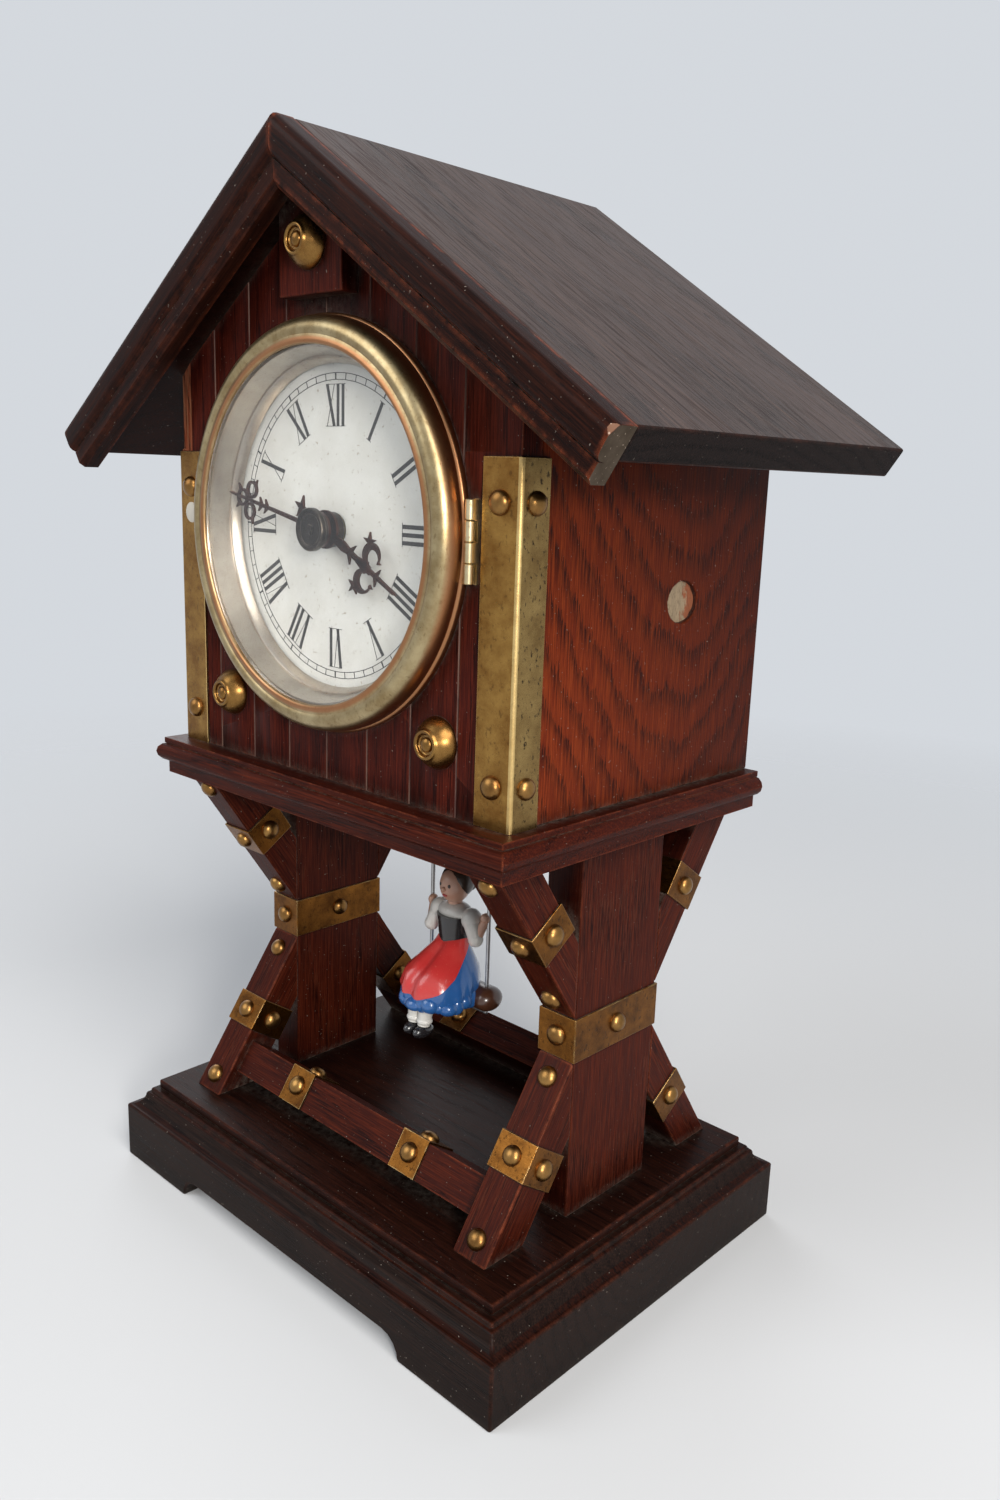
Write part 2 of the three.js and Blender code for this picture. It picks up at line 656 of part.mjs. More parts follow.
// Brass angles up the two front corners
for (const [side, sign] of [['left', -1], ['right', 1]]) {
  const outer = caseHalf + CORNER_STRAP_SHEET;
  const front = CASE_FRONT - CORNER_STRAP_SHEET;
  const angle = outline([
    [sign * (caseHalf - CORNER_STRAP_FRONT), front],
    [sign * outer, front],
    [sign * outer, CASE_FRONT + CORNER_STRAP_SIDE],
    [sign * caseHalf, CASE_FRONT + CORNER_STRAP_SIDE],
    [sign * caseHalf, CASE_FRONT],
    [sign * (caseHalf - CORNER_STRAP_FRONT), CASE_FRONT],
  ]);
  add(`corner_strap_${side}`, alongZ(angle, floorTop, floorTop + CORNER_STRAP_HEIGHT), BRASS);
}

// Turned bosses: a thin foot, a cone with a rounded rim, and a button in its dished front
function boss(x, z, seat) {
  const radius = BOSS_RADIUS;
  const tall = BOSS_LENGTH;
  return turned([
    [0, seat],
    [radius, seat],
    [radius, seat - 0.1 * tall],
    [0.88 * radius, seat - 0.2 * tall],
    [0.68 * radius, seat - 0.88 * tall],
    [0.6 * radius, seat - tall],
    [0.5 * radius, seat - tall],
    [0.42 * radius, seat - 0.78 * tall],
    [0.26 * radius, seat - 0.78 * tall],
    [0.2 * radius, seat - 0.94 * tall],
    [0, seat - 0.94 * tall],
  ], x, z, 12);
}

const gableFront = CASE_FRONT - GABLE_THICKNESS;
add('boss_top', boss(0, gableLow + GABLE_WIDTH / 2 - PLAY, gableFront), BRASS);
add('boss_left', boss(-BOSS_SPREAD / 2, floorTop + BOSS_HEIGHT, CASE_FRONT), BRASS);
add('boss_right', boss(BOSS_SPREAD / 2, floorTop + BOSS_HEIGHT, CASE_FRONT), BRASS);

// Bezel: a rolled brass ring with the glass behind its lip, on a hinge at three o'clock
const bezelFront = bezelBack - BEZEL_HEIGHT;
const glassRadius = bezelInner - PLAY;
const ringMouth = bezelInner - BEZEL_LIP;
const ringThroat = ringMouth - RING_REACH - RING_SHEET;
const lipBack = bezelFront + BEZEL_LIP_DROP + BEZEL_LIP_THICKNESS;
const glassFront = lipBack + PLAY;
const glassBack = glassFront + GLASS_THICKNESS;
const hingeY = CASE_FRONT - HINGE_RADIUS - CORNER_STRAP_SHEET - PLAY;
const hingeLow = dialZ - HINGE_LENGTH / 2;
const hingeStep = HINGE_LENGTH / 4;

function bezel() {
  const lip = bezelInner - BEZEL_LIP;
  const edge = BEZEL_RADIUS - BEZEL_EDGE;
  const crest = (edge + lip) / 2;
  const quarter = arc(0, 0, 1, 0, Math.PI / 2, 3);
  const outside = quarter.map(([u, v]) => [
    crest + (edge - crest) * u, bezelBack - BEZEL_EDGE - (BEZEL_HEIGHT - BEZEL_EDGE) * v,
  ]);
  const inside = quarter.map(([u, v]) => [
    crest - (crest - lip) * u, bezelFront + BEZEL_LIP_DROP * (1 - v),
  ]).reverse().slice(1);
  const ring = turned([
    [bezelInner, bezelBack],
    [BEZEL_RADIUS, bezelBack],
    [BEZEL_RADIUS, bezelBack - BEZEL_EDGE],
    ...outside,
    ...inside,
    [lip, lipBack],
    [bezelInner, lipBack],
    [bezelInner, bezelBack],
  ], 0, dialZ, ROUND_STEPS);
  let whole = ring;
  for (const k of [0, 2]) {
    const low = hingeLow + k * hingeStep + PLAY / 2;
    const high = low + hingeStep - PLAY;
    const tab = box(BEZEL_RADIUS - BEZEL_EDGE, hingeX, hingeY, bezelBack - PLAY, low, high);
    const bore = rodZ(hingeX, hingeY, HINGE_PIN + PLAY, low - GAP, high + GAP);
    whole = whole.add(tab).add(rodZ(hingeX, hingeY, HINGE_RADIUS, low, high)).subtract(bore);
  }
  return whole;
}

// The fixed half of the bezel's hinge: a strip on the panel, two knuckles and the pin
function bezelHinge() {
  const strip = box(
    hingeX, hingeX + HINGE_RADIUS,
    CASE_FRONT - CORNER_STRAP_SHEET, CASE_FRONT,
    hingeLow, hingeLow + HINGE_LENGTH,
  );
  let fixed = strip.add(rodZ(hingeX, hingeY, HINGE_PIN, hingeLow, hingeLow + HINGE_LENGTH));
  for (const k of [1, 3]) {
    const low = hingeLow + k * hingeStep;
    const web = box(hingeX, hingeX + HINGE_RADIUS, hingeY, CASE_FRONT, low, low + hingeStep);
    fixed = fixed.add(rodZ(hingeX, hingeY, HINGE_RADIUS, low, low + hingeStep)).add(web);
  }
  return fixed;
}

// The sight ring: a flange behind the glass and a cone that runs in to the dial's edge
function sightRing() {
  const outer = glassRadius;
  const near = glassBack + PLAY;
  const far = dialFront - RING_CLEARANCE;
  return turned([
    [outer, near],
    [outer, near + RING_SHEET],
    [ringMouth, near + RING_SHEET],
    [ringThroat + RING_SHEET, far],
    [ringThroat, far],
    [ringMouth - RING_SHEET, near],
    [outer, near],
  ], 0, dialZ, ROUND_STEPS);
}

// Dial: a shallow pan whose flange lies behind the panel
const hourPipe = CENTRE_RADIUS + 2 * PIPE_WALL + 2 * PLAY;
const dialEdge = bezelInner - PLAY;

function dialPan() {
  const back = panelBack + DIAL_SHEET;
  const hole = hourPipe + PIPE_WALL;
  return turned([
    [hole, dialFront],
    [dialEdge, dialFront],
    [dialEdge, panelBack],
    [dialEdge + DIAL_FLANGE, panelBack],
    [dialEdge + DIAL_FLANGE, back],
    [dialEdge - DIAL_SHEET, back],
    [dialEdge - DIAL_SHEET, dialFront + DIAL_SHEET],
    [hole, dialFront + DIAL_SHEET],
    [hole, dialFront],
  ], 0, dialZ, ROUND_STEPS);
}

add('bezel', bezel(), BRASS);
add('bezel_glass', rod(0, dialZ, glassRadius, glassFront, glassBack, ROUND_STEPS), GLASS);
add('sight_ring', sightRing(), SILVERED);
add('bezel_hinge', bezelHinge(), BRASS);
add('dial', dialPan(), WHITE_DIAL);

// Hands: flat pierced sheets drawn pointing up from the middle, then turned to the time
const hourHandY = dialFront - HOUR_HAND_RISE - HAND_SHEET;
const minuteHandY = hourHandY - HAND_SPACING;
const cannonPipe = CENTRE_RADIUS + PIPE_WALL;
const minuteLong = ringThroat - TIP_CLEARANCE;
const hourLong = minuteLong - HOUR_HAND_SHORTER;

function moon(u, v, radius, hole, shift) {
  const shape = disc(u, v, radius);
  const eye = new THREE.Path();
  eye.absarc(u + shift, v, hole, 0, 2 * Math.PI);
  shape.holes.push(eye);
  return shape;
}

function blade(low, high, widthLow, widthHigh) {
  return outline([[-widthLow / 2, low], [widthLow / 2, low], [widthHigh / 2, high], [-widthHigh / 2, high]]);
}

function spur(v, width) {
  const tall = width / 5;
  return outline([[-width / 2, v], [0, v - tall], [width / 2, v], [0, v + tall]]);
}

function handSheet(shapes, y, bore) {
  const sheet = union(shapes.map((shape) => alongY(shape, y, y + HAND_SHEET, 6)));
  return sheet.subtract(rod(0, 0, bore, y - GAP, y + HAND_SHEET + GAP));
}

function hourHand() {
  const long = hourLong;
  const ring = 0.125 * long;
  const shapes = [
    disc(0, 0, HUB_RADIUS),
    blade(0.12 * long, 0.62 * long, 0.1 * long, 0.055 * long),
    spur(0.4 * long, 0.2 * long),
    moon(-0.93 * ring, 0.56 * long, ring, 0.72 * ring, -0.1 * ring),
    moon(0.93 * ring, 0.56 * long, ring, 0.72 * ring, 0.1 * ring),
    spur(0.7 * long, 0.22 * long),
    blade(0.6 * long, long, 0.1 * long, 0.02 * long),
    blade(-0.32 * long, 0, 0.06 * long, 0.06 * long),
    spur(-0.3 * long, 0.16 * long),
  ];
  return handSheet(shapes, hourHandY, hourPipe + PLAY);
}

function minuteHand() {
  const long = minuteLong;
  const ring = 0.075 * long;
  const shapes = [
    disc(0, 0, HUB_RADIUS),
    blade(0.08 * long, 0.78 * long, 0.055 * long, 0.04 * long),
    spur(0.58 * long, 0.13 * long),
    spur(0.64 * long, 0.1 * long),
    moon(-0.95 * ring, 0.74 * long, ring, 0.62 * ring, 0),
    moon(0.95 * ring, 0.74 * long, ring, 0.62 * ring, 0),
    moon(0, 0.85 * long, ring, 0.62 * ring, 0),
    spur(0.78 * long, 0.2 * long),
    blade(0.9 * long, long, 0.04 * long, 0.025 * long),
  ];
  const y = minuteHandY;
  const sheet = handSheet(shapes, y, cannonPipe + PLAY);
  const wide = HUB_RADIUS;
  const nut = turned([
    [0, y - 0.8 * HUB_LENGTH],
    [0.66 * wide, y - 0.8 * HUB_LENGTH],
    [0.74 * wide, y - HUB_LENGTH],
    [0.94 * wide, y - HUB_LENGTH],
    [wide, y - 0.88 * HUB_LENGTH],
    [wide, y - 0.45 * HUB_LENGTH],
    [0.84 * wide, y - 0.35 * HUB_LENGTH],
    [0.84 * wide, y + HAND_SHEET / 2],
    [cannonPipe + PLAY, y + HAND_SHEET / 2],
    [cannonPipe + PLAY, y - PLAY],
    [0, y - PLAY],
  ], 0, 0, 14);
  return sheet.add(nut);
}

function addHand(name, body, angle) {
  const hand = piece(name, body, BLUED);
  hand.position.z = dialZ;
  hand.rotation.y = angle;
  parts.push(hand);
}

addHand('hour_hand', hourHand(), HOUR_ANGLE);
addHand('minute_hand', minuteHand(), MINUTE_ANGLE);

// Layers of the train between the plates, each the front and back of a wheel sheet
const centreLayer = [trainFront + SHROUD_SHEET + SHROUD_SPACE + GAP];
centreLayer.push(centreLayer[0] + WHEEL_SHEET);
const greatLayer = [centreLayer[1] + 2 * (SHROUD_SPACE + SHROUD_SHEET) + GAP + PLAY];
greatLayer.push(greatLayer[0] + WHEEL_SHEET);
const thirdLayer = [greatLayer[1] + WINDING_RADIUS * 3];
thirdLayer.push(thirdLayer[0] + WHEEL_SHEET);
const wheelPitch = trainModule * WHEEL_TEETH / 2;
const greatPitch = trainModule * GREAT_TEETH / 2;

// Movement plates: the front one stands off the panel on four ears, the back one carries the
// pillars, the spring's post and the two cocks of the verge arbor
const plateHalf = PLATE_WIDTH / 2;
const plateLow = crownZ - PLATE_MARGIN;
const plateHigh = windingZ + windingStep + PILLAR_RADIUS;
const pillarX = plateHalf - 2 * PILLAR_RADIUS;
const pillarZ = [plateLow + 2 * PILLAR_RADIUS, plateHigh - 2 * PILLAR_RADIUS];
const standoff = (dialEdge + DIAL_FLANGE + 2 * STANDOFF_RADIUS) / Math.SQRT2;
const motionStep = MOTION_MODULE * (CANNON_LEAVES + MINUTE_TEETH) / 2;
const studRadius = ARBOR_RADIUS + PLAY;
const springRadius = WINDING_RADIUS + GAP + SPRING_SHEET / 2;
const springOuter = windingStep - CENTRE_RADIUS - SPRING_MARGIN;
const springPitch = (springOuter - springRadius) / SPRING_TURNS;
const springFront = greatLayer[1] + PIPE_WALL + SPRING_SPACE;
const springBack = trainBack - SPRING_SPACE;
const cockX = wireX + 2 * ARBOR_RADIUS + COCK_SPACE;

function pierced(plate, y0, y1) {
  const holes = [
    [windingZ, WINDING_RADIUS],
    [dialZ, CENTRE_RADIUS],
    [thirdZ, ARBOR_RADIUS],
    [fourthZ, ARBOR_RADIUS],
    [crownZ, ARBOR_RADIUS],
  ];
  return holes.reduce(
    (left, [z, radius]) => left.subtract(rod(0, z, radius + PLAY, y0 - GAP, y1 + GAP)),
    plate,
  );
}

function frontPlate() {
  let plate = box(-plateHalf, plateHalf, plateFront, trainFront, plateLow, plateHigh);
  const reach = standoff + STANDOFF_RADIUS + EAR_MARGIN;
  for (const z of [dialZ - standoff, dialZ + standoff]) {
    plate = plate.add(box(-reach, reach, plateFront, trainFront, z - EAR_WIDTH / 2, z + EAR_WIDTH / 2));
    for (const x of [-standoff, standoff]) {
      plate = plate.add(rod(x, z, STANDOFF_RADIUS, panelBack, trainFront));
    }
  }
  plate = pierced(plate, plateFront, trainFront);
  return plate.add(rod(motionStep, dialZ, studRadius, dialFront + DIAL_SHEET + GAP, trainFront));
}

function backPlate() {
  const sheet = box(-plateHalf, plateHalf, trainBack, plateBack, plateLow, plateHigh);
  let plate = pierced(sheet, trainBack, plateBack);
  for (const x of [-pillarX, pillarX]) {
    for (const z of pillarZ) plate = plate.add(rod(x, z, PILLAR_RADIUS, trainFront, plateBack));
  }
  const post = springOuter + SPRING_SHEET + GAP + PILLAR_RADIUS / 2;
  plate = plate.add(rod(post, windingZ, PILLAR_RADIUS / 2, springFront, plateBack));
  for (const x of [-cockX, cockX - COCK_SHEET]) {
    const tall = 4 * ARBOR_RADIUS;
    const cock = box(x, x + COCK_SHEET, trainBack, swingY + tall, crownZ - tall, crownZ + tall);
    const pivot = rodX(swingY, crownZ, ARBOR_RADIUS + PLAY, x - GAP, x + COCK_SHEET + GAP);
    plate = plate.add(cock.subtract(pivot));
  }
  return plate;
}

add('front_plate', frontPlate(), BRASS);
add('back_plate', backPlate(), BRASS);

// Wheels. A tooth is a tapering peg; a wheel that works in a lantern pinion is cut deeper than the
// pins reach. Wheels in line on one upright have a tooth straight down, and pinions a gap straight up.
function toothed(teeth, module, phase, share, addendum, dedendum, taper) {
  const pitch = module * teeth / 2;
  const step = 2 * Math.PI / teeth;
  const wide = share * step / 2;
  const points = [];
  for (let k = 0; k < teeth; k++) {
    const at = phase + k * step;
    const root = pitch - dedendum;
    const tip = pitch + addendum;
    const foot = wide * (1 + dedendum / module * taper);
    for (const [radius, angle] of [[root, at - foot], [tip, at], [root, at + foot]]) {
      points.push([radius * Math.cos(angle), radius * Math.sin(angle)]);
    }
  }
  return points;
}

// A crossed-out wheel sheet with its round windows
function wheelSheet(points, x, z, y0, y1, windows, windowAt, windowRadius) {
  let sheet = alongY(outline(points.map(([u, v]) => [u + x, v + z])), y0, y1);
  for (let k = 0; k < windows; k++) {
    const angle = 2 * Math.PI * (k + 0.5) / windows;
    const u = x + windowAt * Math.cos(angle);
    const v = z + windowAt * Math.sin(angle);
    sheet = sheet.subtract(rod(u, v, windowRadius, y0 - GAP, y1 + GAP, 6));
  }
  return sheet;
}

const DOWN = -Math.PI / 2;

function trainWheel(teeth, z, y0, y1, windows, windowAt, windowRadius) {
  const clear = TRUNDLE_RADIUS + 2 * PLAY;
  const points = toothed(teeth, trainModule, DOWN, 0.44, 0.85 * trainModule, clear, 0.1);
  return wheelSheet(points, 0, z, y0, y1, windows, windowAt, windowRadius);
}

// A lantern pinion: pins between two shrouds, about the wheel sheet that drives it
function lantern(leaves, z, y0, y1) {
  const pitch = trainModule * leaves / 2;
  const rim = pitch + TRUNDLE_RADIUS + GAP;
  const front = y0 - SHROUD_SPACE - SHROUD_SHEET;
  const back = y1 + SHROUD_SPACE + SHROUD_SHEET;
  const pieces = [
    rod(0, z, rim, front, front + SHROUD_SHEET, 10),
    rod(0, z, rim, back - SHROUD_SHEET, back, 10),
  ];
  for (let k = 0; k < leaves; k++) {
    const angle = Math.PI / 2 + 2 * Math.PI * (k + 0.5) / leaves;
    pieces.push(rod(
      pitch * Math.cos(angle), z + pitch * Math.sin(angle), TRUNDLE_RADIUS,
      front + SHROUD_SHEET / 2, back - SHROUD_SHEET / 2, 4,
    ));
  }
  return union(pieces);
}

function crossed(z, layer) {
  return trainWheel(WHEEL_TEETH, z, layer[0], layer[1], WINDOWS, 0.55 * wheelPitch, 0.25 * wheelPitch);
}

// The centre wheel rides on a pipe that slips on the centre arbor when the hands are set
function centreWheel() {
  const bore = CENTRE_RADIUS + PLAY;
  const back = greatLayer[1] + SHROUD_SPACE + SHROUD_SHEET;
  const pipe = rod(0, dialZ, bore + SLIP_PIPE_WALL, trainFront + PLAY, back);
  const wheel = union([pipe, crossed(dialZ, centreLayer), lantern(CENTRE_LEAVES, dialZ, ...greatLayer)]);
  return wheel.subtract(rod(0, dialZ, bore, trainFront, back + GAP));
}

function arborWheel(z, pinionLayer, wheelLayer) {
  return union([
    rod(0, z, ARBOR_RADIUS, plateFront, plateBack),
    lantern(PINION_LEAVES, z, ...pinionLayer),
    crossed(z, wheelLayer),
  ]);
}

function centreArbor() {
  const knob = plateBack + WINDING_RADIUS;
  return turned([
    [0, minuteHandY],
    [CENTRE_RADIUS, minuteHandY],
    [CENTRE_RADIUS, knob],
    [KNOB_RADIUS / 2, knob],
    [KNOB_RADIUS, knob + KNOB_LENGTH / 3],
    [KNOB_RADIUS, knob + 0.85 * KNOB_LENGTH],
    [0.85 * KNOB_RADIUS, knob + KNOB_LENGTH],
    [0, knob + KNOB_LENGTH],
  ], 0, dialZ, 16);
}

add('centre_arbor', centreArbor(), STEEL);
add('centre_wheel', centreWheel(), BRASS);
add('third_wheel', arborWheel(thirdZ, centreLayer, thirdLayer), BRASS);
add('fourth_wheel', arborWheel(fourthZ, thirdLayer, greatLayer), BRASS);

// Crown wheel: a cup behind the back plate with raked teeth that stand towards the verge
function crownWheel() {
  const disc0 = plateBack + CROWN_BEHIND;
  const rimBack = disc0 + CROWN_DEPTH;
  const inner = CROWN_RADIUS - CROWN_RIM;
  const cup = turned([
    [0, plateFront],
    [ARBOR_RADIUS, plateFront],
    [ARBOR_RADIUS, disc0],
    [CROWN_RADIUS, disc0],
    [CROWN_RADIUS, rimBack],
    [inner, rimBack],
    [inner, disc0 + CROWN_RIM],
    [ARBOR_RADIUS, disc0 + CROWN_RIM],
    [ARBOR_RADIUS, disc0 + 2 * CROWN_RIM],
    [0, disc0 + 2 * CROWN_RIM],
  ], 0, crownZ, CROWN_TEETH);
  const step = 2 * Math.PI * inner / CROWN_TEETH;
  const tooth = outline([[-0.4 * step, -GAP], [0.4 * step, -GAP], [0.4 * step, CROWN_TOOTH]]);
  const pieces = [cup, lantern(PINION_LEAVES, crownZ, ...greatLayer)];
  for (let k = 0; k < CROWN_TEETH; k++) {
    const wedge = extrude(tooth, CROWN_RIM - 2 * PLAY).translate(0, 0, inner + PLAY);
    wedge.rotateY(2 * Math.PI * (k + 0.5) / CROWN_TEETH);
    pieces.push(solid(wedge.translate(0, rimBack, crownZ)));
  }
  return union(pieces);
}

add('crown_wheel', crownWheel(), BRASS);

// Great wheel, its ratchet on the winding arbor, the click between them and the mainspring
const ratchetBack = greatLayer[0] - GAP;
const ratchetFront = ratchetBack - WHEEL_SHEET;
const clickX = -RATCHET_RADIUS - CLICK_OUT;
const clickZ = windingZ + RATCHET_RADIUS - CLICK_DROP;

function greatWheel() {
  const wheel = trainWheel(GREAT_TEETH, windingZ, ...greatLayer, 0, 0, 0);
  const hub = rod(0, windingZ, WINDING_RADIUS + 2 * PIPE_WALL, greatLayer[0], greatLayer[1] + PIPE_WALL, 16);
  const pin = rod(clickX, clickZ, CLICK_PIN, ratchetFront, greatLayer[1]);
  const past = greatLayer[1] + 2 * PIPE_WALL;
  const bore = rod(0, windingZ, WINDING_RADIUS + PLAY, greatLayer[0] - GAP, past, 16);
  return wheel.add(hub).subtract(bore).add(pin);
}

function windingArbor() {
  const arbor = rod(0, windingZ, WINDING_RADIUS, plateFront, plateBack + KEY_LENGTH / 2, 12);
  const points = [];
  for (let k = 0; k < RATCHET_TEETH; k++) {
    const angle = 2 * Math.PI * k / RATCHET_TEETH;
    const root = 0.8 * RATCHET_RADIUS;
    points.push([root * Math.cos(angle), windingZ + root * Math.sin(angle)]);
    points.push([RATCHET_RADIUS * Math.cos(angle), windingZ + RATCHET_RADIUS * Math.sin(angle)]);
  }
  return arbor.add(alongY(outline(points), ratchetFront, ratchetBack));
}

// The click is a bar about its pin whose nose lies in a gap of the ratchet
function click() {
  const angle = Math.PI - 2 * Math.PI / RATCHET_TEETH * 0.6;
  const reach = RATCHET_RADIUS - CLICK_BITE;
  const nose = [reach * Math.cos(angle), windingZ + reach * Math.sin(angle)];
  const ring = disc(clickX, clickZ, 2 * CLICK_PIN);
  const bar = outline([
    [clickX - 1.6 * CLICK_PIN, clickZ],
    [clickX + 0.4 * CLICK_PIN, clickZ - 1.8 * CLICK_PIN],
    nose,
    [clickX - CLICK_PIN, clickZ - 1.6 * CLICK_PIN],
  ]);
  const y0 = ratchetFront + PLAY;
  const y1 = ratchetBack - PLAY;
  const hole = rod(clickX, clickZ, CLICK_PIN + PLAY, y0 - GAP, y1 + GAP);
  return alongY(ring, y0, y1).add(alongY(bar, y0, y1)).subtract(hole);
}

function mainspring() {
  const STEPS = 12;
  const side = (shift) => {
    const points = [];
    for (let k = 0; k <= SPRING_TURNS * STEPS; k++) {
      const angle = 2 * Math.PI * k / STEPS;
      const radius = springRadius + springPitch * k / STEPS + shift;
      points.push([radius * Math.cos(angle), windingZ + radius * Math.sin(angle)]);
    }
    return points;
  };
  const strip = [...side(SPRING_SHEET / 2), ...side(-SPRING_SHEET / 2).reverse()];
  return alongY(outline(strip), springFront, springBack);
}

function windingKey() {
  const y0 = plateBack + PLAY;
  const y1 = y0 + KEY_LENGTH;
  const bow = y1 + 2 * KEY_WING;
  const barrel = rod(0, windingZ, WINDING_RADIUS + 2 * PIPE_WALL, y0, y1 + KEY_WING / 2, 12);
  const bore = rod(0, windingZ, WINDING_RADIUS + PLAY, y0 - GAP, plateBack + KEY_LENGTH / 2 + PLAY, 12);
  let key = barrel.subtract(bore);
  for (const side of [-1, 1]) {
    const wing = moon(side * 0.9 * KEY_WING, 0, KEY_WING, 0.4 * KEY_WING, 0);
    const sheet = alongZ(wing, windingZ - PIPE_WALL, windingZ + PIPE_WALL, 8);
    key = key.add(sheet.translate([0, bow - KEY_WING, 0]));
  }
  return key;
}

add('great_wheel', greatWheel(), BRASS);
add('winding_arbor', windingArbor(), STEEL);
add('click', click(), STEEL);
add('mainspring', mainspring(), STEEL);
add('winding_key', windingKey(), BRASS);

// Motion work between the front plate and the dial
const minuteLayer = [plateFront - GAP - WHEEL_SHEET, plateFront - GAP];
const hourLayer = [minuteLayer[0] - GAP - 2 * WHEEL_SHEET, minuteLayer[0] - GAP - WHEEL_SHEET];
const hourModule = 2 * motionStep / (MINUTE_LEAVES + HOUR_TEETH);

function motionTeeth(teeth, module, phase) {
  return toothed(teeth, module, phase, 0.4, 0.8 * module, 1.15 * module, 0.15);
}

function cannonPinion() {
  const points = motionTeeth(CANNON_LEAVES, MOTION_MODULE, Math.PI / CANNON_LEAVES);
  const leaves = alongY(outline(points.map(([u, v]) => [u, v + dialZ])), minuteLayer[0], minuteLayer[1]);
  const pipe = rod(0, dialZ, cannonPipe, minuteHandY, minuteLayer[1]);
  const bore = rod(0, dialZ, CENTRE_RADIUS + PLAY / 2, minuteHandY - GAP, minuteLayer[1] + GAP, 24);
  return leaves.add(pipe).subtract(bore);
}

function minuteWheel() {
  const wheel = motionTeeth(MINUTE_TEETH, MOTION_MODULE, Math.PI);
  const pinion = motionTeeth(MINUTE_LEAVES, hourModule, Math.PI + Math.PI / MINUTE_LEAVES);
  const place = ([u, v]) => [u + motionStep, v + dialZ];
  const front = hourLayer[0] - PLAY;
  const both = alongY(outline(wheel.map(place)), ...minuteLayer)
    .add(alongY(outline(pinion.map(place)), front, minuteLayer[1]));
  return both.subtract(rod(motionStep, dialZ, studRadius + PLAY, front - GAP, minuteLayer[1] + GAP));
}

function hourWheel() {
  const points = motionTeeth(HOUR_TEETH, hourModule, 0);
  const wheel = alongY(outline(points.map(([u, v]) => [u, v + dialZ])), ...hourLayer);
  const pipe = rod(0, dialZ, hourPipe, hourHandY, hourLayer[1], 16);
  return wheel.add(pipe).subtract(rod(0, dialZ, cannonPipe + PLAY, hourHandY - GAP, hourLayer[1] + GAP, 16));
}

add('cannon_pinion', cannonPinion(), STEEL);
add('minute_wheel', minuteWheel(), BRASS);
add('hour_wheel', hourWheel(), BRASS);

// Verge arbor with its two pallets, and the swing that hangs on it
const collar = 2 * ARBOR_RADIUS;
const palletRoom = swingY - crownTip - GAP - PALLET_SHEET / 2;
const palletLength = palletRoom / Math.cos(PALLET_TILT - SWING_ANGLE);
const seatTop = crownZ - SWING_DROP + SEAT_THICKNESS / 2;
const seatLow = seatTop - SEAT_THICKNESS;

function vergeArbor() {
  const end = cockX + PLAY;
  let arbor = rodX(swingY, crownZ, ARBOR_RADIUS, -end, end);
  for (const side of [-1, 1]) {
    const x = side * wireX;
    arbor = arbor.add(rodX(swingY, crownZ, collar, x - collar, x + collar));
    const flag = new THREE.BoxGeometry(CROWN_RIM, palletLength, PALLET_SHEET);
    flag.translate(0, -palletLength / 2, 0).rotateX(side * PALLET_TILT);
    flag.translate(side * (CROWN_RADIUS - CROWN_RIM / 2), swingY, crownZ);
    arbor = arbor.add(solid(flag));
  }
  return arbor;
}

// One wire bent to a U: down from the arbor, under the seat and up again
function swingWires() {
  const low = seatLow - WIRE_RADIUS - GAP;
  const high = crownZ - collar - PLAY;
  const pieces = [rodX(swingY, low, WIRE_RADIUS, -wireX, wireX, 8)];
  for (const x of [-wireX, wireX]) {
    pieces.push(rodZ(x, swingY, WIRE_RADIUS, low, high, 8));
    pieces.push(ball(x, swingY, low, WIRE_RADIUS, WIRE_RADIUS, WIRE_RADIUS, 8, 6));
  }
  return union(pieces);
}

// A bolster along X with round ends, grown by a margin
function bolster(margin) {
  const radius = SEAT_THICKNESS / 2;
  const capsule = new THREE.CapsuleGeometry(radius, SEAT_WIDTH - SEAT_THICKNESS, 4, 14);
  capsule.rotateZ(Math.PI / 2);
  capsule.scale(1 + margin / radius, (SEAT_DEPTH / 2 + margin) / radius, 1 + margin / radius);
  return solid(capsule.translate(0, swingY, seatTop - radius));
}

// The bolster seat with a hole at each wire
function swingSeat() {
  let seat = bolster(0);
  for (const x of [-wireX, wireX]) {
    seat = seat.subtract(rodZ(x, swingY, WIRE_RADIUS + GAP, seatLow - GAP, seatTop + GAP, 8));
  }
  return seat;
}

// A limb between two places, thick at the first and thin at the second
function limb(from, to, thick, thin) {
  const start = new THREE.Vector3(...from);
  const along = new THREE.Vector3(...to).sub(start);
  const geometry = new THREE.CylinderGeometry(thin, thick, along.length(), 6);
  geometry.translate(0, along.length() / 2, 0);
  const up = new THREE.Vector3(0, 1, 0);
  const turn = new THREE.Quaternion().setFromUnitVectors(up, along.clone().normalize());
  return solid(geometry.applyQuaternion(turn).translate(start.x, start.y, start.z));
}

